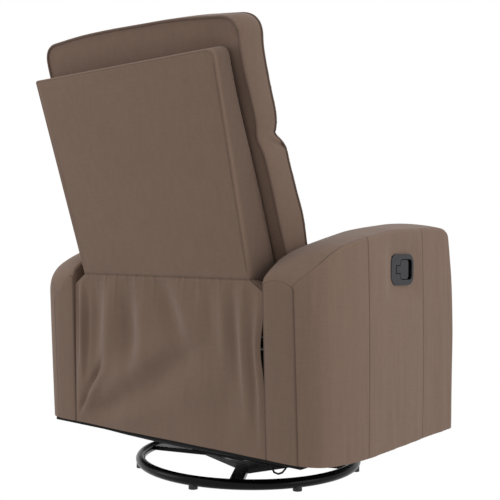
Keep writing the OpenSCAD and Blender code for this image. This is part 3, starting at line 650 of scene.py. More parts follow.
@dataclass
class PaddedForm:
    """A closed padded form built of rings round one outline.

    Attributes:
        name: Name of the piece.
        outline: The outline, two numbers a row.
        middle: The point that the rings shrink to.
        rings: Rings from the back's middle, over the edge, to the front's middle.
        place: Turns outline points and depths into points of the frame.
        dent: Moves a ring's points and depths before they are placed.
        rim: The placed points of each ring, filled in by build.
    """

    name: str
    outline: Array
    middle: Tuple[float, float]
    rings: List[Ring]
    place: Callable[[Array, Array], Array]
    dent: Optional[Callable[[Array, Array, Array], Tuple[Array, Array]]] = None
    rim: Dict[int, Array] = field(default_factory=dict)

    def build(self, material: bpy.types.Material) -> bpy.types.Object:
        """Makes the form's mesh.

        Args:
            material: Its material.

        Returns:
            The object.
        """
        count = len(self.outline)
        middle = np.array(self.middle)
        points, seams = [], []
        for k, ring in enumerate(self.rings):
            flat = middle + (self.outline - middle) * ring.scale
            depth = ring.depth(flat, np.full(count, ring.scale))
            if self.dent is not None:
                flat, depth = self.dent(flat, depth, np.full(count, ring.scale))
            placed = self.place(flat, depth)
            self.rim[k] = placed
            points.append(placed)
            seams.append(np.full(count, ring.seam))
        ends = [points[0].mean(0), points[-1].mean(0)]
        total = len(self.rings) * count
        faces = grid_faces(len(self.rings), count, closed=True)
        faces += [((i + 1) % count, i, total) for i in range(count)]
        last = total - count
        faces += [(last + i, last + (i + 1) % count, total + 1) for i in range(count)]
        return add_mesh(self.name, np.vstack(points + [ends]), faces, material,
                        np.concatenate(seams + [np.zeros(2)]))


@dataclass(frozen=True)
class ChairSizes:
    """Sizes of the chair's soft forms, in metres, from the swivel axis.

    Attributes:
        arm_in: Distance of the arms' inner faces from the centre plane.
        arm_w: Greatest width of an arm.
        arm_h: Height of an arm's flat top above its underside.
        arm_front: Reach of the arms in front of the axis.
        arm_rear: Reach of the arms' feet behind the axis.
        arm_lean: Rearward lean of an arm's back edge.
        body_z: Height of the body's underside.
        back_lean: Lean of the back's rear plane, in radians.
        shell_y: Position of the shell's lower rear edge.
        shell_z: Height of the shell's lower rear edge.
        shell_h: Height of the shell along its plane.
        shell_w: Width of the shell's lower edge.
        shell_top_w: Width of the shell's top.
        shell_low_d: Depth of the shell's side at the bottom.
        shell_top_d: Depth of the shell's side at the top.
        tuck_h: Height of the back cushion's waist tuck.
        welt_r: Radius of the welts.
    """

    arm_in: float = 0.283
    arm_w: float = 0.140
    arm_h: float = 0.456
    arm_front: float = 0.248
    arm_rear: float = 0.289
    arm_lean: float = 0.017
    body_z: float = 0.1045
    back_lean: float = math.radians(17)
    shell_y: float = 0.298
    shell_z: float = 0.446
    shell_h: float = 0.450
    shell_w: float = 0.489
    shell_top_w: float = 0.520
    shell_low_d: float = 0.092
    shell_top_d: float = 0.056
    tuck_h: float = 0.266
    welt_r: float = 0.0032


SIZES = ChairSizes()

# Stations of an arm: share of its length, of its width and of its inner edge's height.
ARM_SHARES = (
    (0, 0.76, 0.946), (0.006, 0.815, 0.975), (0.018, 0.855, 0.992),
    (0.039, 0.875, 1.007), (0.07, 0.88, 1.018), (0.116, 0.885, 1.024),
    (0.19, 0.89, 1.021), (0.3, 0.905, 1.009), (0.411, 0.935, 0.9945), (0.521, 0.96, 0.976),
    (0.632, 0.985, 0.948), (0.722, 1, 0.923), (0.797, 0.99, 0.9),
    (0.862, 0.955, 0.875), (0.917, 0.905, 0.844), (0.954, 0.845, 0.8125),
    (0.978, 0.755, 0.788), (0.993, 0.64, 0.769), (1, 0.53, 0.7445),
)

# An arm's top: share of the length, rise of the crown and offset of the outer edge, in mm.
ARM_TOP = np.array([
    (0, 2.0, -11.0), (0.12, 3.0, -11.0), (0.19, 3.5, -11.0), (0.3, 4.0, -8.0), (0.411, 4.5, -4.0),
    (0.521, 5.0, 1.5), (0.632, 5.5, 6.0), (0.722, 6.0, 10.0), (0.797, 6.0, 11.5),
    (0.862, 6.0, 12.0), (0.917, 6.0, 10.0), (0.954, 6.5, 7.0), (0.978, 7.0, 3.0),
    (0.993, 7.0, -3.0), (1.0, 7.0, -7.0),
])

# The back cushion's boxing: height up the back's plane and depth there, in metres.
BOXING = np.array([
    (-0.034, 0.060), (0.03, 0.069), (0.09, 0.076), (0.15, 0.071), (0.205, 0.068),
    (0.235, 0.070), (0.254, 0.061), (0.266, 0.054), (0.28, 0.060), (0.31, 0.062),
    (0.36, 0.061), (0.43, 0.064), (0.48, 0.070), (0.53, 0.068),
])


def axis_y() -> float:
    """Position of the swivel axis in the frame.

    Returns:
        Its Y, in metres.
    """
    low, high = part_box("base_ring")
    return (low.y + high.y) / 2


def to_frame(points: Array) -> Array:
    """Moves points drawn from the swivel axis into the frame.

    Args:
        points: Points, one a row.

    Returns:
        The moved points.
    """
    return points + np.array([0, axis_y(), 0])


def on_back(flat: Array, depth: Array) -> Array:
    """Places points of the leaning back.

    Args:
        flat: Across the back and up its rear plane.
        depth: In front of the rear plane.

    Returns:
        Points of the frame.
    """
    s, c = math.sin(SIZES.back_lean), math.cos(SIZES.back_lean)
    x, h = flat[:, 0], flat[:, 1]
    return to_frame(np.stack([x, SIZES.shell_y + h * s - depth * c,
                              SIZES.shell_z + h * c + depth * s], 1))


def shell_depth(h: Array) -> Array:
    """Depth of the back shell at heights up its plane.

    Args:
        h: Heights, in metres.

    Returns:
        Depths, in metres.
    """
    share = np.clip(h / SIZES.shell_h, -0.1, 1)
    return SIZES.shell_low_d + (SIZES.shell_top_d - SIZES.shell_low_d) * share


def bell(x: Array, middle: float, width: float) -> Array:
    """A smooth bump of height 1.

    Args:
        x: Where to read it.
        middle: Its middle.
        width: Its half width.

    Returns:
        The bump's height at x.
    """
    return np.exp(-((x - middle) / width) ** 2)


@dataclass
class ChairArm:
    """An upholstered arm, with sizes in metres.

    Attributes:
        side: 1 for the left arm, -1 for the right, which holds the handle.
        node: The CAD node that it replaces.
        seam_y: Places of the outer panel's two upright seams behind the swivel axis.
        round_in: Radius of the top's inner edge at the front.
        round_rear: Radius of the top's inner edge at the rear.
        wrap: Height over which the top's cloth turns down to the outer panel.
        front_lean: How far the front's upper edge leans back.
        low_side: Drop of the top's outer edge where it is slack, at the rear.
        taper: How far the outer panel's foot is drawn in, below zero where it stands out.
        bulge: Swell of the outer panel.
        press: How deep the handle's bezel presses the outer panel.
        slack: Height of the outer panel's slack folds.
        puff_front: Swell of the front panel.
        puff_rear: Swell of the rear panel.
        INNER: Points up the inner side.
        OUTER: Points from the edge seam down the outer side.
        ACROSS: Points across the front and rear panels.
        SEAM_GAPS: Distances of the stations at a seam from it, in millimetres.
    """

    side: int
    node: str
    seam_y: Tuple[float, float] = (0.148, -0.088)
    round_in: float = 0.014
    round_rear: float = 0.006
    wrap: float = 0.009
    front_lean: float = 0.024
    low_side: float = 0.0
    taper: float = 0.0
    bulge: float = 4.0 * MM
    press: float = 4.5 * MM
    slack: float = 1.5 * MM
    puff_front: float = 5.0 * MM
    puff_rear: float = 2.5 * MM

    INNER: ClassVar[int] = 52
    OUTER: ClassVar[int] = 65
    ACROSS: ClassVar[int] = 15
    SEAM_GAPS: ClassVar[Tuple[float, ...]] = (-3.0, -1.6, -0.8, 0.0, 0.8, 1.6, 3.0)

    def stations(self) -> Tuple[Array, Array]:
        """Stations along the arm, closer together at its ends and seams.

        Returns:
            The stations' shares of the length, and how near each is to a seam.
        """
        shares = np.array([row[0] for row in ARM_SHARES])
        steps = np.arange(0, len(shares) - 1 + 1e-6, 1 / 9)
        spread = np.interp(steps, np.arange(len(shares)), shares)
        length = SIZES.arm_front + SIZES.arm_rear
        lines, near = [], []
        for y in self.seam_y:
            at = (y + SIZES.arm_front) / length
            lines += [at + gap * MM / length for gap in self.SEAM_GAPS]
            near += [math.exp(-gap ** 2) for gap in self.SEAM_GAPS]
        if self.side < 0:
            low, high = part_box("handle_bezel")
            for y in (low.y + 1.8 * MM, high.y - 1.8 * MM):
                lines.append((y - axis_y() + SIZES.arm_front) / length)
                near.append(0.0)
        keep = np.array([all(abs(v - x) * length > 1.1 * MM for x in lines) for v in spread])
        all_t = np.concatenate([spread[keep], lines])
        all_near = np.concatenate([np.zeros(int(keep.sum())), near])
        order = np.argsort(all_t)
        return all_t[order], all_near[order]

    def outline(self, w: float, h: float, share: float) -> Tuple[Array, Array]:
        """The arm's section at one station.

        Args:
            w: Width of the section.
            h: Height of the section.
            share: The station's share of the arm's length.

        Returns:
            Points from the inner foot over the top to the outer foot, and how near each is
            to the edge seam.
        """
        rise, drop = (np.interp(share, ARM_TOP[:, 0], ARM_TOP[:, k]) * MM for k in (1, 2))
        bend_r = self.round_in + (self.round_rear - self.round_in) * share ** 8
        reach = w - 0.45 * self.wrap
        edge_z = h + drop - self.low_side * np.clip((share - 0.35) / 0.5, 0, 1)
        turn = np.radians(np.linspace(0, 90, 9))
        inner = np.stack([np.zeros(self.INNER), np.linspace(0, h - bend_r, self.INNER)], 1)
        bend_in = np.stack([bend_r - bend_r * np.cos(turn), h - bend_r + bend_r * np.sin(turn)], 1)[1:]
        top_x = np.concatenate([np.linspace(bend_r, reach - 3.2 * MM, 23)[1:],
                                reach - np.array([1.6, 0.8, 0]) * MM])
        u = (top_x - bend_r) / (reach - bend_r)
        top = np.stack([top_x, h + (edge_z - h) * u + rise * (1 - np.abs(2 * u - 1) ** 2.2)], 1)
        first = math.radians(28)
        bend = np.concatenate([first + np.radians([1, 2.5, 5]), np.linspace(first + 0.17, math.pi / 2, 12)])
        out_x = reach + (w - reach) * (np.sin(bend) - math.sin(first)) / (1 - math.sin(first))
        out_z = edge_z - self.wrap * (math.cos(first) - np.cos(bend)) / math.cos(first)
        wrapped = np.stack([out_x, out_z], 1)
        z = np.linspace(edge_z - self.wrap, 0, 51)[1:]
        flat = np.vstack([inner, bend_in, top, wrapped, np.stack([np.full(len(z), w), z], 1)])
        seam = np.zeros(len(flat))
        edge = len(flat) - self.OUTER - 1
        seam[edge - 1: edge + 3] = (0.3, 1.0, 0.6, 0.15)
        return flat, seam

    def folds(self, points: Array, outer: Array) -> Array:
        """Outward movement of the outer panel's slack cloth.

        Args:
            points: Points of the arm before mirroring.
            outer: How much each point belongs to the outer panel.

        Returns:
            The movement, in metres.
        """
        y, z = points[:, 1], points[:, 2]
        wave = 0.9 * ripple(points, (0, 26, 3.2), 3.0 + self.side)
        wave += 0.5 * ripple(points, (0, 70, 7), 11.0 + self.side)
        wave += 0.35 * ripple(points, (0, 120, 11), 23.0 + self.side)
        low = 0.45 + 0.75 * np.clip((0.36 - z) / 0.25, 0, 1)
        front = 1 + 0.8 * np.clip((-0.05 - y) / 0.15, 0, 1)
        return self.slack * outer * wave * low * front

    def build(self, materials: Materials) -> List[bpy.types.Object]:
        """Makes the arm's cover and its underside.

        Args:
            materials: The finishes.

        Returns:
            The arm's pieces.
        """
        grid, seam, t = self._sections()
        count, cols = grid.shape[:2]
        points = self._swelled(grid.reshape(-1, 3), seam, t, cols)
        skin = points.reshape(grid.shape).copy()
        faces = grid_faces(count, cols, flip=self.side < 0)
        points, faces, seam = self._cap(points, faces, seam, cols, count)
        if self.side < 0:
            faces = self._pocket(points, faces)
        cover = add_mesh(f"{self.node}_cover", to_frame(points * [self.side, 1, 1]), faces,
                         materials.get(Look.LINEN), seam)
        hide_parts(self.node)
        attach(cover, "chassis")
        return [cover, self._underside(skin, materials)]

    def _sections(self) -> Tuple[Array, Array, Array]:
        """Sets up the arm's plain sections, one a station.

        Returns:
            The sections' points, how near each is to a seam, and the stations' shares.
        """
        t, near = self.stations()
        shares = np.array(ARM_SHARES)
        widths = smooth_curve(shares[:, 0], shares[:, 1], t) * SIZES.arm_w
        heights = smooth_curve(shares[:, 0], shares[:, 2], t) * SIZES.arm_h
        rows, seams = [], []
        for k, share in enumerate(t):
            flat, edge = self.outline(widths[k], heights[k], share)
            y = -SIZES.arm_front + share * (SIZES.arm_front + SIZES.arm_rear)
            up = flat[:, 1] / heights[k]
            lean = SIZES.arm_lean * share ** 3 * up + self.front_lean * (1 - share) ** 12 * up ** 5
            rows.append(np.stack([SIZES.arm_in + flat[:, 0], y + lean,
                                  SIZES.body_z + flat[:, 1]], 1))
            on_outer = np.arange(len(flat)) >= len(flat) - self.OUTER - 1
            seams.append(np.maximum(edge, near[k] * on_outer))
        return np.stack(rows), np.concatenate(seams), t

    def _swelled(self, points: Array, seam: Array, t: Array, cols: int) -> Array:
        """Swells the outer panel between its seams, and presses it round the handle.

        Args:
            points: Points of the sections.
            seam: How near each is to a seam.
            t: The stations' shares of the length.
            cols: Points in a section.

        Returns:
            The moved points.
        """
        count = len(t)
        outer = np.tile(np.arange(cols) >= cols - self.OUTER, count).astype(float)
        up = (points[:, 2] - SIZES.body_z) / SIZES.arm_h
        ends = np.repeat(np.clip(np.minimum(t / 0.02 + 0.4, (1 - t) / 0.06), 0, 1), cols)
        calm = ends * (1 - self._near_handle(points))
        swell = self.bulge * np.sin(math.pi * np.clip(up, 0, 1)) ** 0.8 * ends
        pressed = self.press * outer * (1 - calm) * (ends > 0.99)
        out = swell * outer * calm - pressed + self.folds(points, outer) * calm
        out -= outer * (1.0 * MM * seam + self.taper * np.clip(1 - up, 0, 1) ** 1.3)
        points[:, 0] += out
        inner = np.tile(np.arange(cols) < self.INNER, count)
        points[inner, 0] = np.maximum(points[inner, 0], SIZES.arm_in)
        return points

    def _near_handle(self, points: Array) -> Array:
        """How near points are to the handle's bezel, which presses the cloth flat.

        Args:
            points: Points of the arm before mirroring.

        Returns:
            Nearness from 0 to 1.
        """
        if self.side > 0:
            return np.zeros(len(points))
        low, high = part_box("handle_bezel")
        reach_y = np.abs(points[:, 1] + axis_y() - (low.y + high.y) / 2) - (high.y - low.y) / 2
        reach_z = np.abs(points[:, 2] - (low.z + high.z) / 2) - (high.z - low.z) / 2
        away = np.hypot(np.clip(reach_y, 0, None), np.clip(reach_z, 0, None))
        near = np.clip(1 - away / 0.045, 0, 1)
        return near ** 2 * (3 - 2 * near)

    def _cap(self, points: Array, faces: List, seam: Array, cols: int,
             count: int) -> Tuple[Array, List, Array]:
        """Closes the arm's front and rear with slightly padded panels, a little darkened as painted shade.

        Args:
            points: Points of the arm's skin.
            faces: Its faces.
            seam: How near each point is to a seam.
            cols: Points in a section.
            count: Sections.

        Returns:
            Points, faces, and seam and painted shade values, with the panels added.
        """
        half = cols // 2
        steps = np.linspace(0, 1, self.ACROSS)
        up = np.linspace(0, 1, half)[:, None]
        puff = (1 - np.abs(2 * steps[None] - 1) ** 4) * (1 - up ** 6)
        # The panels carry a little painted shade (0.12), with dark seams (0.9) along their borders.
        edge = np.full((half, self.ACROSS), 0.12)
        edge[:, 0] = edge[:, -1] = edge[-1] = 0.9
        for last, swell in ((False, -self.puff_front), (True, self.puff_rear)):
            base = (count - 1) * cols if last else 0
            ring = points[base: base + cols]
            inner, outer = ring[:half, None], ring[::-1][:half, None]
            grid = inner * (1 - steps[None, :, None]) + outer * steps[None, :, None]
            grid[:, :, 1] += swell * puff
            start = len(points)
            points = np.vstack([points, grid.reshape(-1, 3)])
            faces = faces + grid_faces(half, self.ACROSS, start, flip=last == (self.side > 0))
            seam = np.concatenate([seam, edge.ravel()])
            seam[base: base + cols] = np.maximum(seam[base: base + cols], 0.8)
        return points, faces, seam

    def _pocket(self, points: Array, faces: List) -> List:
        """Leaves out the outer panel's faces behind the handle's bezel.

        Args:
            points: Points of the arm before mirroring.
            faces: Its faces.

        Returns:
            The faces that stay.
        """
        low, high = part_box("handle_bezel")
        margin = 1 * MM
        y = points[:, 1] + axis_y()
        hole = ((points[:, 0] > -high.x) & (y > low.y + margin) & (y < high.y - margin)
                & (points[:, 2] > low.z + margin) & (points[:, 2] < high.z - margin))
        return [face for face in faces if not all(hole[i] for i in face)]

    def _underside(self, grid: Array, materials: Materials) -> bpy.types.Object:
        """Makes the black cloth under the arm, a little inside and above its lower edge.

        Args:
            grid: Points of the arm's skin, by section.
            materials: The finishes.

        Returns:
            The cloth.
        """
        steps = np.linspace(0, 1, 8)[None, :, None]
        inset = np.array([4 * MM, 0, 0])
        points = (grid[3:-3, :1] + inset) * (1 - steps) + (grid[3:-3, -1:] - inset) * steps
        rows, cols = points.shape[:2]
        points = points.reshape(-1, 3) + np.array([0, 0, 1.5 * MM])
        cloth = add_mesh(f"{self.node}_underside", to_frame(points * [self.side, 1, 1]),
                         grid_faces(rows, cols, flip=self.side < 0), materials.get(Look.LINER))
        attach(cloth, "chassis")
        return cloth


def add_welt(name: str, route: Array, body: str, materials: Materials,
             radius: float = SIZES.welt_r, look: Look = Look.WELT) -> bpy.types.Object:
    """Makes a corded welt along a closed route.

    Args:
        name: Name of the piece.
        route: Points of the route in the frame.
        body: The body that it rides on.
        materials: The finishes.
        radius: Radius of the welt.
        look: Its finish; the welt finishes are the linen darkened as painted shade.

    Returns:
        The welt.
    """
    points, faces = sweep(route, radius, 10)
    welt = add_mesh(name, points, faces, materials.get(look))
    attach(welt, body)
    return welt


@dataclass
class Back:
    """The reclining back: rear shell and boxed cushion, with sizes in metres.

    Attributes:
        shell_round: Radius of the shell's rear edges.
        shell_waist: How far the shell's side panels are drawn in.
        slack_left: How much wider the shell's left side stands at its foot.
        foot_half: Half width of the cushion's foot.
        top_half: Half width of the cushion half a metre up.
        drop: Reach of the cushion below the shell's lower edge.
        top_h: Height of the cushion's upper corners.
        arch: Rise of the cushion's upper edge at its middle.
        crown: Swell of the cushion's front.
        waist: How far the tuck draws in the cushion's sides.
        crease_h: Height of the crease in the cushion's boxing.
        crease_in: Depth of that crease.
    """

    shell_round: float = 3.5 * MM
    shell_waist: float = 9 * MM
    slack_left: float = 5.0 * MM
    foot_half: float = 0.275
    top_half: float = 0.280
    drop: float = 0.034
    top_h: float = 0.508
    arch: float = 0.0135
    crown: float = 0.050
    waist: float = 7 * MM
    crease_h: float = 0.238
    crease_in: float = 5.0 * MM

    def shell(self, materials: Materials) -> bpy.types.Object:
        """Makes the upholstered rear shell.

        Args:
            materials: The finishes.

        Returns:
            The shell.
        """
        low_half, gain = SIZES.shell_w / 2, (SIZES.shell_top_w - SIZES.shell_w) / 2
        outline = rounded_outline(
            lambda h: low_half + 1.5 * MM + gain * h / SIZES.shell_h, 0.0,
            lambda s: SIZES.shell_h + 0 * s, 2 * MM, 4 * MM, 320, 20 * MM)
        left = np.clip(outline[:, 0] / low_half, 0, 1) ** 3
        outline[:, 0] += left * (self.slack_left + 5.5 * MM * outline[:, 1] / SIZES.shell_h)
        form = PaddedForm("back_shell_cover", outline, (0.0, SIZES.shell_h / 2), self._shell_rings(),
                          on_back, self._shell_slack)
        cover = form.build(materials.get(Look.LINEN))
        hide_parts("back_shell")
        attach(cover, "backrest")
        return cover

    def _side_depth(self, h: Array) -> Array:
        """Depth of the shell's side panels, drawn in at their middle.

        Args:
            h: Heights up the plane, in metres.

        Returns:
            Depths, in metres.
        """
        return shell_depth(h) - 4 * MM - self.shell_waist * bell(h, 0.36, 0.15)

    def _shell_rings(self) -> List[Ring]:
        """Rings of the shell, from the middle of its rear face to the middle of its front.

        Returns:
            The rings.
        """
        rings = [Ring(s, lambda flat, share: -2.0 * MM * (1 - np.abs(share) ** 3))
                 for s in (0.1, 0.3, 0.5, 0.7, 0.82, 0.9, 0.95, 0.972)]
        rings += [level_ring(0.978, 0.1 * MM), level_ring(0.981, 0.5 * MM, 0.55),
                  level_ring(0.984, 0.2 * MM)]
        for angle in np.radians((15, 40, 65, 90)):
            inset = self.shell_round * (1 - math.sin(angle))
            rings.append(level_ring(1 - inset / 0.25, self.shell_round * (1 - math.cos(angle))))
        # The side panel's rings carry painted shade (0.45), darkening the whole side panel.
        for part in (0.12, 0.3, 0.5, 0.7, 0.88, 0.97):
            rings.append(Ring(1.0, lambda flat, share, part=part: (
                6 * MM + (self._side_depth(flat[:, 1]) - 10 * MM) * part), 0.45))
        for scale, behind in ((0.996, 2 * MM), (0.985, 0.0), (0.95, 0.0), (0.4, 0.0)):
            rings.append(Ring(scale, lambda flat, share, behind=behind: (
                self._side_depth(flat[:, 1]) - behind)))
        return rings

    @staticmethod
    def _shell_slack(flat: Array, depth: Array, scale: Array) -> Tuple[Array, Array]:
        """Loosens the shell's cloth and raises its lower front edge.

        Args:
            flat: Points of a ring, across the back and up its plane.
            depth: Depth of each point.
            scale: The ring's share of the outline.

        Returns:
            The moved points and depths.
        """
        points = np.stack([flat[:, 0], flat[:, 1], depth], 1)
        soft = 1.1 * ripple(points, (6, 3.5, 0), 5.0) + 0.5 * ripple(points, (22, 6, 4), 8.0)
        low = np.clip(1 - flat[:, 1] / 0.14, 0, 1)
        sunk = np.stack([flat[:, 0], flat[:, 1] - 0.42 * np.clip(depth, 0, None) * low], 1)
        return sunk, depth - soft * MM * (scale < 0.96)

    @staticmethod
    def boxing(h: Array) -> Array:
        """Depth of the back cushion's boxing at heights up the plane.

        Args:
            h: Heights, in metres.

        Returns:
            Depths, in metres.
        """
        return smooth_curve(BOXING[:, 0], BOXING[:, 1], np.clip(h, BOXING[0, 0], BOXING[-1, 0]))

    def cushion(self, materials: Materials) -> List[bpy.types.Object]:
        """Makes the boxed back cushion and its welts.

        Args:
            materials: The finishes.

        Returns:
            The cushion and its welts.
        """
        spread = self.top_half - self.foot_half
        outline = rounded_outline(
            lambda h: self.foot_half + spread * h / 0.5 - self.waist * bell(h, SIZES.tuck_h, 0.022),
            -self.drop, lambda s: self.top_h + self.arch * (1 - s ** 2), 24 * MM, 40 * MM, 520)
        rings, rear, front = self._cushion_rings()
        form = PaddedForm("back_cushion_cover", outline, (0.0, 0.24), rings, on_back,
                          self._cushion_shape)
        cover = form.build(materials.get(Look.LINEN))
        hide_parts("back_cushion")
        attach(cover, "backrest")
        # The welts' darker finishes are painted shade of the cords.
        return [cover,
                add_welt("back_rear_welt", form.rim[rear], "backrest", materials,
                         look=Look.SHADED_CORD),
                add_welt("back_front_welt", form.rim[front], "backrest", materials)]

    def _cushion_rings(self) -> Tuple[List[Ring], int, int]:
        """Rings of the cushion, from the middle of its rear to the middle of its front.

        Returns:
            The rings, and the numbers of those that the rear and front welts follow.
        """
        def boxed(part: float, fill: float = 0.0) -> Callable[[Array, Array], Array]:
            """A depth at a part of the boxing, and in front of it.

            Args:
                part: Share of the boxing's depth.
                fill: Further depth, in metres.

            Returns:
                The depth as a ring takes it.
            """
            return lambda flat, share: (
                shell_depth(flat[:, 1]) + self.boxing(flat[:, 1]) * part + fill)

        rings = [Ring(s, boxed(0)) for s in (0.2, 0.6, 0.85, 0.93, 0.97, 0.99)]
        rings.append(Ring(1.0, boxed(0), 0.6))
        rear = len(rings) - 1
        # The boxing's rings carry painted shade (0.16), darkening the recessed boxing between the welts.
        for part in (0.04, 0.12, 0.25, 0.4, 0.55, 0.7, 0.85, 0.95):
            swell = 1 + 0.016 * math.sin(math.pi * part) ** 0.7
            rings.append(Ring(swell, boxed(part), 0.16))
        rings.append(Ring(1.0, boxed(1), 0.6))
        front = len(rings) - 1
        for scale in np.sin(np.radians(np.linspace(88, 2, 34))):
            rings.append(Ring(float(scale), boxed(1, self.crown * (1 - scale ** 2.2))))
        return rings, rear, front

    def _cushion_shape(self, flat: Array, depth: Array, scale: Array) -> Tuple[Array, Array]:
        """Presses the tuck into the cushion, and creases, rumples and softens its cloth.

        Args:
            flat: Points of a ring, across the back and up its plane.
            depth: Depth of each point.
            scale: The ring's share of the outline.

        Returns:
            The moved points and depths.
        """
        x, h = flat[:, 0].copy(), flat[:, 1].copy()
        rear, deep = shell_depth(h), self.boxing(h)
        forward = np.clip((depth - rear) / deep, 0, 1)
        fill = np.clip(depth - rear - deep, 0, None)
        depth = depth - 0.5 * fill * bell(h, SIZES.tuck_h, 0.026)
        points = np.stack([x, h, depth], 1)
        outer = np.abs(x) > 0.2
        welted = np.clip((h - 0.3) / 0.1, 0, 1) * bell(h, 0.36, 0.12) * (forward < 0.02)
        depth = depth - 4 * MM * welted * (scale > 0.985)
        crease = 2.4 * MM * ripple(points, (0, 55, 26), 2.0) * np.sin(math.pi * forward)
        crease *= bell(h, SIZES.tuck_h, 0.04) * outer
        fold = h - self.crease_h - 0.036 * (1 - forward)
        pinch = np.exp(-(fold / 0.006) ** 2) - 0.6 * np.exp(-((fold - 0.013) / 0.008) ** 2)
        reach = np.clip((forward - 0.25) / 0.5, 0, 1) * np.clip((1.02 - forward) / 0.1, 0, 1)
        crease -= self.crease_in * pinch * reach * outer * (scale > 0.985)
        edge = np.clip((scale - 0.9) / 0.1, 0, 1)
        wave = 2.6 * MM * ripple(np.stack([x, h, 0 * h], 1), (9, 9, 0), 41.0)
        x = x + np.sign(x) * (crease + wave * edge)
        rise = np.clip((h - 0.24) / 0.26, 0, None)
        h = h + 1.6 * MM * ripple(points, (11, 3, 6), 52.0) * edge + 0.03 * x * rise ** 2
        soft = 1.6 * ripple(points, (5, 5, 0), 14.0) + 0.6 * ripple(points, (16, 16, 0), 19.0)
        rumple = 2.2 * ripple(points, (9, 14, 0), 63.0) + 1.0 * ripple(points, (30, 34, 0), 71.0)
        rear_face = (depth < rear + 1 * MM) * (scale < 0.995) * (h > SIZES.shell_h - 0.01)
        depth = depth + soft * MM * (fill > 0) - np.abs(rumple) * MM * rear_face
        return np.stack([x, h], 1), depth


@dataclass
class Seat:
    """The seat cushion and the footrest's pad, with sizes in metres.

    Attributes:
        seat_thick: Height of the seat cushion's boxing.
        seat_corners: Reach of the seat cushion's front and rear corners.
        pad_crown: Swell of the pad's face.
        pad_corners: Reach of the pad's lower and upper corners.
        inset: How far both covers stay inside their solids' sides.
        welt_up: Height of the lower welt's ring.
    """

    seat_thick: float = 0.066
    seat_corners: Tuple[float, float] = (34 * MM, 22 * MM)
    pad_crown: float = 0.016
    pad_corners: Tuple[float, float] = (24 * MM, 24 * MM)
    inset: float = 1 * MM
    welt_up: float = 4 * MM

    def cushion(self, materials: Materials) -> List[bpy.types.Object]:
        """Makes the seat cushion and its welts.

        Args:
            materials: The finishes.

        Returns:
            The cushion and its welts.
        """
        low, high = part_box("seat_cushion")
        crown = high.z - low.z - self.seat_thick

        def place(flat: Array, depth: Array) -> Array:
            """Turns outline points and depths upward."""
            return np.stack([flat[:, 0], flat[:, 1], low.z + depth], 1)

        return self._boxed("seat_cushion", (low.y, high.y), self.seat_corners, place,
                           (self.seat_thick, crown), "chassis", materials, 31.0)

    def pad(self, materials: Materials) -> List[bpy.types.Object]:
        """Makes the footrest's pad and its welts.

        Args:
            materials: The finishes.

        Returns:
            The pad and its welts.
        """
        low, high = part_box("footrest_pad")
        thick = high.y - low.y - self.pad_crown

        def place(flat: Array, depth: Array) -> Array:
            """Turns outline points and depths forward."""
            return np.stack([flat[:, 0], high.y - depth, flat[:, 1]], 1)

        return self._boxed("footrest_pad", (low.z, high.z), self.pad_corners, place,
                           (thick, self.pad_crown), "footrest", materials, 47.0)

    def _boxed(self, node: str, span: Tuple[float, float], corners: Tuple[float, float],
               place: Callable[[Array, Array], Array], depths: Tuple[float, float], body: str,
               materials: Materials, seed: float) -> List[bpy.types.Object]:
        """Makes a boxed cushion with two welts.

        Args:
            node: The CAD node that it replaces.
            span: Ends of its outline's second coordinate.
            corners: Reach of the outline's low and high corners.
            place: Turns outline points and depths into points of the frame.
            depths: Depth of its boxing, and of its crown above that.
            body: The body that it rides on.
            materials: The finishes.
            seed: Shift of its ripples.

        Returns:
            The cushion and its welts.
        """
        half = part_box(node)[1].x - self.inset
        thick, crown = depths
        outline = rounded_outline(lambda h: half + 0 * h, span[0], lambda s: span[1] + 0 * s,
                                  *corners, 360)
        rings = [level_ring(s, 0.0) for s in (0.3, 0.7, 0.9, 0.97)]
        rings += [level_ring(0.99, 0.6 * MM), level_ring(0.994, self.welt_up, 0.6)]
        first = len(rings) - 1
        for part in (0.12, 0.25, 0.4, 0.55, 0.7, 0.85):
            rings.append(level_ring(0.992 + 0.008 * math.sin(math.pi * part),
                                    self.welt_up + (thick - self.welt_up) * part))
        rings.append(level_ring(0.994, thick, 0.6))
        second = len(rings) - 1
        for scale in np.sin(np.radians(np.linspace(86, 2, 26))):
            rings.append(level_ring(float(scale), thick + crown * (1 - scale ** 4) ** 0.5))

        def soften(flat: Array, depth: Array, scale: Array) -> Tuple[Array, Array]:
            """Makes waves in the crown.

            Args:
                flat: Points of a ring.
                depth: Depth of each point.
                scale: The ring's share of the outline; not used.

            Returns:
                The points and the moved depths.
            """
            points = np.stack([flat[:, 0], flat[:, 1], depth], 1)
            wave = 1.6 * ripple(points, (5, 6, 0), seed) + 0.6 * ripple(points, (18, 15, 0), seed + 4)
            return flat, depth + wave * MM * (depth > thick + 1 * MM)

        form = PaddedForm(f"{node}_cover", outline, (0.0, sum(span) / 2), rings, place, soften)
        cover = form.build(materials.get(Look.LINEN))
        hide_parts(node)
        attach(cover, body)
        # The welts' darker finish is painted shade of the cords.
        return [cover,
                add_welt(f"{node}_low_welt", form.rim[first], body, materials),
                add_welt(f"{node}_high_welt", form.rim[second], body, materials)]


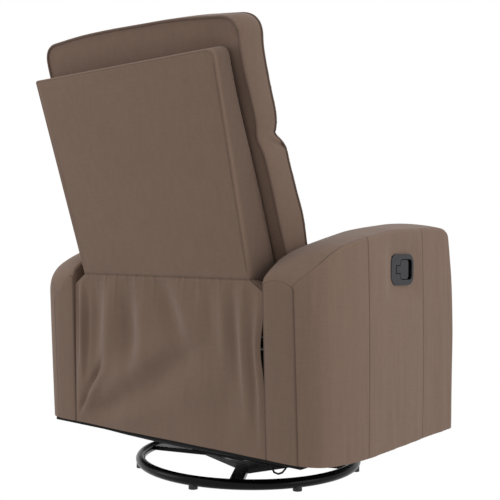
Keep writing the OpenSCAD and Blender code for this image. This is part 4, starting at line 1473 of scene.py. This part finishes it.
# Folds of the rear skirt, in metres across it and up from the floor.
SKIRT_FOLDS = (
    Fold((0.271, 0.43), (0.266, 0.25), 0.009, -0.004),
    Fold((0.258, 0.435), (0.255, 0.20), 0.010, 0.0045),
    Fold((0.240, 0.43), (0.243, 0.22), 0.009, -0.0035),
    Fold((0.208, 0.42), (0.216, 0.25), 0.026, -0.008),
    Fold((0.155, 0.43), (0.170, 0.25), 0.026, 0.007),
    Fold((0.104, 0.42), (0.098, 0.24), 0.024, -0.0085),
    Fold((0.060, 0.42), (0.045, 0.27), 0.024, 0.005),
    Fold((0.010, 0.44), (-0.065, 0.30), 0.026, -0.0085),
    Fold((-0.045, 0.43), (-0.115, 0.31), 0.026, 0.0045),
    Fold((0.190, 0.250), (0.232, 0.185), 0.0075, -0.006, 0.3),
    Fold((0.232, 0.185), (0.268, 0.128), 0.0075, -0.0055, 0.3),
    Fold((0.172, 0.235), (0.255, 0.125), 0.013, 0.0045),
    Fold((0.235, 0.120), (0.100, 0.190), 0.024, -0.008),
    Fold((0.120, 0.180), (-0.105, 0.300), 0.034, -0.009),
    Fold((0.185, 0.165), (-0.035, 0.315), 0.040, 0.010),
    Fold((0.180, 0.105), (0.020, 0.150), 0.030, 0.006),
    Fold((0.020, 0.165), (-0.150, 0.230), 0.040, 0.004),
    Fold((-0.135, 0.44), (-0.145, 0.33), 0.014, -0.0025),
    Fold((-0.175, 0.44), (-0.180, 0.28), 0.012, 0.0035),
    Fold((-0.200, 0.44), (-0.212, 0.24), 0.011, -0.004),
    Fold((-0.226, 0.43), (-0.238, 0.18), 0.011, 0.0045),
    Fold((-0.252, 0.41), (-0.262, 0.13), 0.011, -0.004),
    Fold((-0.272, 0.40), (-0.274, 0.12), 0.009, 0.003),
    Fold((-0.160, 0.11), (-0.215, 0.28), 0.036, -0.0035),
)


@dataclass
class Skirt:
    """Loose cloth between the arms, from the shell's lower edge to the hem, sizes in metres.

    Attributes:
        cols: Points across the cloth.
        rows: Points up the cloth.
        plane_y: Distance of the hem's plane behind the swivel axis.
        lean: How much further back the upper edge lies.
        gather_count: Gathers along the upper edge.
        gather_half: Half width of a gather.
        gap_z: Height of the gap between the cloth's slack right edge and the arm.
        gap_w: Width of that gap.
        tucks: Rows of cloth tucked in behind the upper edge.
        sag: Reach of the lining below the body's underside, at its ends.
    """

    cols: int = 300
    rows: int = 190
    plane_y: float = 0.2885
    lean: float = 0.0105
    gather_count: int = 17
    gather_half: float = 0.0045
    gap_z: float = 0.315
    gap_w: float = 10 * MM
    tucks: int = 8
    sag: float = 7 * MM

    def build(self, materials: Materials) -> bpy.types.Object:
        """Makes the skirt, with a little painted shade over it.

        Args:
            materials: The finishes.

        Returns:
            The skirt.
        """
        half = SIZES.arm_in - 0.5 * MM
        grid_x, grid_v = np.meshgrid(np.linspace(half, -half, self.cols),
                                     np.linspace(0, 1, self.rows))
        low = SIZES.body_z - 0.5 * MM
        past = np.clip((np.abs(grid_x) - SIZES.shell_w / 2 - 1 * MM) / 0.036, 0, 1)
        high = SIZES.shell_z + 2.5 * MM - 0.024 * past
        across, up = grid_x.ravel(), (low + (high - low) * grid_v).ravel()
        share = grid_v.ravel()
        edge = np.clip((half - np.abs(across)) / 0.015, 0, 1)
        y = self._depth(across, up, share, edge)
        slack = self.gap_w * bell(up, self.gap_z, 0.052) * np.clip(1 - (half + across) / 0.06, 0, 1)
        points = to_frame(np.stack([across + slack, y, up], 1))
        seam = np.clip(1 - np.abs(share - 1) * self.rows / 1.5, 0, 1) * 0.9
        seam = np.maximum(seam, np.clip(1 - (half - np.abs(across)) / (1.5 * MM), 0, 1))
        # The whole cloth carries a little painted shade (0.1); the tucked rows get none.
        seam = np.concatenate([np.maximum(seam, 0.1), np.zeros(self.cols * self.tucks)])
        points = np.vstack([points, self._tucked(points[-self.cols:])])
        cloth = add_mesh("rear_skirt_cloth", points, grid_faces(self.rows + self.tucks, self.cols),
                         materials.get(Look.LINEN), seam)
        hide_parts("rear_skirt")
        return cloth

    def _depth(self, across: Array, up: Array, share: Array, edge: Array) -> Array:
        """Depth of the cloth, with its folds, gathers and waves.

        Args:
            across: Places of the points across the cloth.
            up: Their heights.
            share: Their shares of the cloth's height.
            edge: How far they are from its sides, from 0 to 1.

        Returns:
            Distances behind the swivel axis, in metres.
        """
        lift = sum(fold.lift(across, up) for fold in SKIRT_FOLDS)
        points = np.stack([across, 0 * across, up], 1)
        soft = 1.3 * MM * ripple(points, (9, 0, 5), 3.0) + 0.5 * MM * ripple(points, (30, 0, 14), 7.0)
        hold = np.clip((1 - share) / 0.04, 0, 1) * edge
        hem = 0.45 + 0.55 * np.clip(share / 0.12, 0, 1)
        y = self.plane_y + self.lean * share + (1.45 * lift + soft) * hold * hem
        y += self._gathers(across, up) * edge + 4 * MM * np.sin(math.pi * share) ** 0.7 * edge
        y += 1.2 * MM * ripple(points, (14, 0, 0), 21.0) * (1 - share) ** 8 * edge
        return np.minimum(y, self.plane_y + 0.0085 * share + 0.018)

    def _gathers(self, across: Array, up: Array) -> Array:
        """Small gathers that fade out below the upper edge.

        Args:
            across: Places of the points across the cloth.
            up: Their heights.

        Returns:
            Height of the gathers at each point, in metres.
        """
        rng = np.random.default_rng(7)
        gathers = np.zeros(across.size)
        spots = np.linspace(-0.235, 0.27, self.gather_count)
        for spot in spots + rng.uniform(-0.008, 0.008, self.gather_count):
            fall = rng.uniform(0.02, 0.06)
            down = np.clip((SIZES.shell_z - up) / fall, 0, 3)
            height = rng.uniform(0.8, 2.2) * MM
            gathers += height * bell(across, spot, self.gather_half) * np.exp(-down)
        return gathers

    def _tucked(self, rim: Array) -> Array:
        """Rows that tuck the upper edge into the shell and lay it level beside the shell.

        Args:
            rim: Points of the upper edge.

        Returns:
            Points of the rows.
        """
        past = np.abs(rim[:, 0]) - SIZES.shell_w / 2 + 5 * MM
        beside = np.clip(past / 0.006, 0, 1)[:, None]
        made = []
        for step in np.linspace(0.12, 1, self.tucks):
            tuck = (1 - beside) * step * np.array([0, -0.012, 0.007])
            made.append(rim + beside * step * np.array([0, -0.075, -0.012 * step]) + tuck)
        return np.vstack(made)

    def lining(self, materials: Materials) -> bpy.types.Object:
        """Makes the edge of the black lining that shows below the hem.

        Args:
            materials: The finishes.

        Returns:
            The lining.
        """
        half = SIZES.arm_in - 1 * MM
        x, v = np.linspace(half, -half, 90), np.linspace(1, 0, 9)
        grid_x, grid_v = np.meshgrid(x, v)
        across, down = grid_x.ravel(), grid_v.ravel()
        sag = self.sag + 8 * MM * (1 - (across / half) ** 2)
        z = SIZES.body_z + 6 * MM - (sag + 6 * MM) * down
        y = self.plane_y - 2.5 * MM - 14 * MM * down ** 2
        points = np.stack([across, y, z], 1)
        points += 0.8 * MM * ripple(points, (16, 0, 0), 9.0)[:, None] * np.array([0, 1, 1])
        cloth = add_mesh("rear_lining", to_frame(points), grid_faces(v.size, x.size),
                         materials.get(Look.LINER))
        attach(cloth, "chassis")
        return cloth


@dataclass
class Stitches:
    """A row of stitches, laid along a route by Geometry Nodes, sizes in metres.

    Attributes:
        name: Name of the piece.
        route: Points of the route in the frame.
        pitch: Distance between stitches.
        radius: Radius of a stitch before it is stretched.
        stretch: Scale of a stitch, along the route last.
    """

    name: str
    route: Array
    pitch: float = 0.0055
    radius: float = 0.0007
    stretch: Triple = (0.8, 0.8, 2.6)

    def build(self, body: str, materials: Materials) -> bpy.types.Object:
        """Lays the stitches.

        Args:
            body: The body that they ride on.
            materials: The finishes.

        Returns:
            The stitches as one mesh.
        """
        line = bpy.data.meshes.new(self.name)
        edges = [(i, i + 1) for i in range(len(self.route) - 1)]
        line.from_pydata([tuple(p) for p in self.route], edges, [])
        obj = bpy.data.objects.new(self.name, line)
        bpy.context.scene.collection.objects.link(obj)
        modifier = obj.modifiers.new("stitches", "NODES")
        modifier.node_group = self._tree(materials.get(Look.THREAD))
        sizes = {"Pitch": self.pitch, "Radius": self.radius, "Stretch": self.stretch}
        for socket in modifier.node_group.interface.items_tree:
            if socket.name in sizes:
                modifier[socket.identifier] = sizes[socket.name]
        bpy.context.view_layer.update()
        depsgraph = bpy.context.evaluated_depsgraph_get()
        plain = bpy.data.meshes.new_from_object(obj.evaluated_get(depsgraph))
        obj.modifiers.clear()
        obj.data = plain
        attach(obj, body)
        return obj

    def _tree(self, thread: bpy.types.Material) -> bpy.types.NodeTree:
        """Builds the nodes that space stitches along a line.

        Args:
            thread: The stitches' material.

        Returns:
            The node tree, with its sizes as named inputs.
        """
        tree = bpy.data.node_groups.new(self.name, "GeometryNodeTree")
        for name, way, kind in (("Geometry", "INPUT", "Geometry"), ("Pitch", "INPUT", "Float"),
                                ("Radius", "INPUT", "Float"), ("Stretch", "INPUT", "Vector"),
                                ("Geometry", "OUTPUT", "Geometry")):
            tree.interface.new_socket(name, in_out=way, socket_type="NodeSocket" + kind)
        source, sink, to_curve, spaced, stitch, shape, copies, real, paint = (
            tree.nodes.new(kind) for kind in (
                "NodeGroupInput", "NodeGroupOutput", "GeometryNodeMeshToCurve",
                "GeometryNodeCurveToPoints", "GeometryNodeMeshUVSphere", "GeometryNodeTransform",
                "GeometryNodeInstanceOnPoints", "GeometryNodeRealizeInstances",
                "GeometryNodeSetMaterial"))
        spaced.mode = "LENGTH"
        stitch.inputs["Segments"].default_value = 8
        stitch.inputs["Rings"].default_value = 6
        paint.inputs["Material"].default_value = thread
        for start, output, end, entry in (
                (source, "Geometry", to_curve, "Mesh"), (source, "Pitch", spaced, "Length"),
                (source, "Radius", stitch, "Radius"), (source, "Stretch", shape, "Scale"),
                (to_curve, "Curve", spaced, "Curve"), (spaced, "Points", copies, "Points"),
                (spaced, "Rotation", copies, "Rotation"), (stitch, "Mesh", shape, "Geometry"),
                (shape, "Geometry", copies, "Instance"), (copies, "Instances", real, "Geometry"),
                (real, "Geometry", paint, "Geometry"), (paint, "Geometry", sink, "Geometry")):
            tree.links.new(start.outputs[output], end.inputs[entry])
        return tree


# The finish of each CAD node that stays.
NODE_LOOKS: Dict[Look, Tuple[str, ...]] = {
    Look.STEEL: ("base_ring", "base_arms", "hub_plate", "turntable_plate",
                 "glider_crossmembers", "glider_uprights", "front_swing_links",
                 "rear_swing_links", "mechanism_side_plates", "cross_tubes",
                 "release_latch", "back_hinge_plates", "back_brackets", "foot_lower_links",
                 "foot_cross_links", "foot_front_links", "foot_lift_links",
                 "footrest_brackets"),
    Look.PLATED: ("swivel_bolt", "swivel_lower_race", "bearing_cage", "bearing_balls",
                  "swivel_upper_race", "link_top_pins", "link_bottom_pins", "seat_springs",
                  "arm_bolts", "handle_pin", "latch_pin", "back_pivot_bolts",
                  "foot_lower_rivets", "foot_cross_rivets", "foot_front_rivets",
                  "foot_lift_rivets"),
    Look.WOOD: ("arm_frames",),
    Look.LINEN: ("seat_front_rail", "seat_side_rails", "seat_rear_rail"),
    Look.LINER: ("footrest_board", "dust_rails"),
    Look.PLASTIC: ("handle_bezel", "handle_paddle"),
    Look.GLIDE: ("floor_glides",),
    Look.CABLE: ("release_cable",),
}

# Rounding of edges by node, in millimetres.
EDGE_ROUND: Dict[str, float] = {
    "base_arms": 1.2, "hub_plate": 1.2, "turntable_plate": 0.8, "glider_crossmembers": 1.2,
    "dust_rails": 1.0, "handle_bezel": 0.7, "handle_paddle": 0.5, "seat_side_rails": 1.5,
    "seat_rear_rail": 1.5, "arm_frames": 1.5, "seat_front_rail": 2.0, "footrest_board": 1.5,
    "floor_glides": 0.8,
}


# Steepest turn between faces that still shades smooth, and least turn that is rounded.
SMOOTH_ANGLE = math.radians(34)
ROUND_ANGLE = math.radians(40)


def dress_nodes(nodes: Dict[str, bpy.types.Object], materials: Materials) -> None:
    """Gives the CAD nodes that stay their finishes, soft edges and smooth curves.

    Args:
        nodes: The CAD nodes by name.
        materials: The finishes.
    """
    for look, names in NODE_LOOKS.items():
        for name in names:
            obj = nodes[name]
            obj.data.materials.clear()
            obj.data.materials.append(materials.get(look))
            obj.data.shade_smooth()
            obj.data.set_sharp_from_angle(angle=SMOOTH_ANGLE)
            if name in EDGE_ROUND:
                bevel = obj.modifiers.new("edges", "BEVEL")
                bevel.width = EDGE_ROUND[name] * MM
                bevel.segments = 3
                bevel.limit_method = "ANGLE"
                bevel.angle_limit = ROUND_ANGLE
                bevel.harden_normals = True


@dataclass(frozen=True)
class View:
    """The photograph's camera, measured from the swivel axis.

    Attributes:
        place: Position of the camera.
        azimuth: Bearing that the view comes from, in degrees.
        elevation: Height of the view above level, in degrees.
        roll: Turn of the picture, in degrees.
        lens: Focal length on a 36 mm sensor, in millimetres.
        shift: Shift of the picture up, as a share of its width.
    """

    place: Triple = (-1.3273, 1.6016, 0.5038)
    azimuth: float = 219.7
    elevation: float = -1.5
    roll: float = 0.6
    lens: float = 62.6
    shift: float = -0.0432


def add_camera(view: View) -> None:
    """Places the photograph's camera.

    Args:
        view: Where it stands and how it looks.
    """
    camera = bpy.data.cameras.new("camera")
    camera.lens, camera.sensor_width, camera.shift_y = view.lens, 36.0, view.shift
    obj = bpy.data.objects.new("camera", camera)
    bpy.context.scene.collection.objects.link(obj)
    a, e, r = (math.radians(v) for v in (view.azimuth, view.elevation, view.roll))
    back = Vector((math.sin(a) * math.cos(e), -math.cos(a) * math.cos(e), math.sin(e)))
    right = Vector((math.cos(a), math.sin(a), 0))
    up = back.cross(right)
    side = right * math.cos(r) + up * math.sin(r)
    top = up * math.cos(r) - right * math.sin(r)
    turn = Matrix((side, top, back)).transposed()
    obj.matrix_world = Matrix.Translation(Vector(view.place) + Vector((0, axis_y(), 0))) @ turn.to_4x4()
    bpy.context.scene.camera = obj


def add_light(name: str, place: Triple, target: Triple, size: float, power: float) -> None:
    """Places a square soft light.

    Args:
        name: Its name.
        place: Its position.
        target: The point that it faces.
        size: Its side, in metres.
        power: Its power, in watts.
    """
    light = bpy.data.lights.new(name, "AREA")
    light.shape, light.size, light.energy = "SQUARE", size, power
    obj = bpy.data.objects.new(name, light)
    bpy.context.scene.collection.objects.link(obj)
    obj.location = place
    aim = Vector(target) - Vector(place)
    obj.rotation_mode = "QUATERNION"
    obj.rotation_quaternion = aim.to_track_quat("-Z", "Y")


def add_studio() -> None:
    """Sets the white studio: even surround, soft lights and plain white behind."""
    scene = bpy.context.scene
    scene.view_settings.view_transform = "Standard"
    scene.world = bpy.data.worlds.new("studio")
    scene.world.use_nodes = True
    sky = ShaderTree(scene.world.node_tree)
    path = sky.add("LightPath").outputs
    mirrored = sky.combine("MAXIMUM", path["Is Glossy Ray"], path["Is Transmission Ray"])
    seen = sky.combine("MAXIMUM", path["Is Camera Ray"], mirrored)
    mix, out = sky.add("MixShader"), sky.add("OutputWorld")
    sky.join(seen, mix.inputs["Fac"])
    for entry, strength in ((1, 0.6), (2, 1.0)):
        white = sky.add("Background", Color=(1, 1, 1, 1), Strength=strength)
        sky.join(white.outputs[0], mix.inputs[entry])
    sky.join(mix.outputs[0], out.inputs["Surface"])
    add_light("key", (-3.2, -0.3, 1.3), (0, 0, 0.5), 2.0, 36)
    add_light("side", (2.1, 2.0, 0.9), (0.2, 0.2, 0.4), 1.4, 15)
    add_light("top", (0.4, 1.2, 3.2), (0, 0.2, 0.5), 2.0, 21)


def shell_seam_route(side: int) -> Array:
    """Where the shell's rear face turns to its side panel.

    Args:
        side: 1 for the left side, -1 for the right.

    Returns:
        Points of the seam in the frame.
    """
    h = np.linspace(0.02, SIZES.shell_h - 0.03, 40)
    half = (SIZES.shell_w + (SIZES.shell_top_w - SIZES.shell_w) * h / SIZES.shell_h) / 2
    flat = np.stack([side * (half - 3.5 * MM), h], 1)
    return on_back(flat, np.full(len(h), -0.4 * MM))


def write_size() -> None:
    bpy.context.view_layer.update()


def main() -> None:
    """Builds the chair's looks round the frame and reports each piece."""
    logging.basicConfig(level=logging.INFO)
    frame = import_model()
    materials = Materials()
    add_camera(View())
    add_studio()
    dress_nodes(frame["nodes"], materials)
    ChairArm(1, "left_arm", low_side=0.038, taper=0.011, wrap=0.026).build(materials)
    ChairArm(-1, "right_arm", taper=-0.003).build(materials)
    back = Back()
    back.shell(materials)
    back.cushion(materials)
    seat = Seat()
    seat.cushion(materials)
    seat.pad(materials)
    drape = Skirt()
    skirt = drape.build(materials)
    drape.lining(materials)
    for side, word in ((-1, "right"), (1, "left")):
        Stitches(f"shell_{word}_stitches", shell_seam_route(side)).build("backrest", materials)
    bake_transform(skirt)
    write_size()
    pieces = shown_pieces()
    for piece in pieces:
        LOG.info("piece %s", piece.name)
    LOG.info("built %d pieces", len(pieces))


if __name__ == "__main__":
    main()
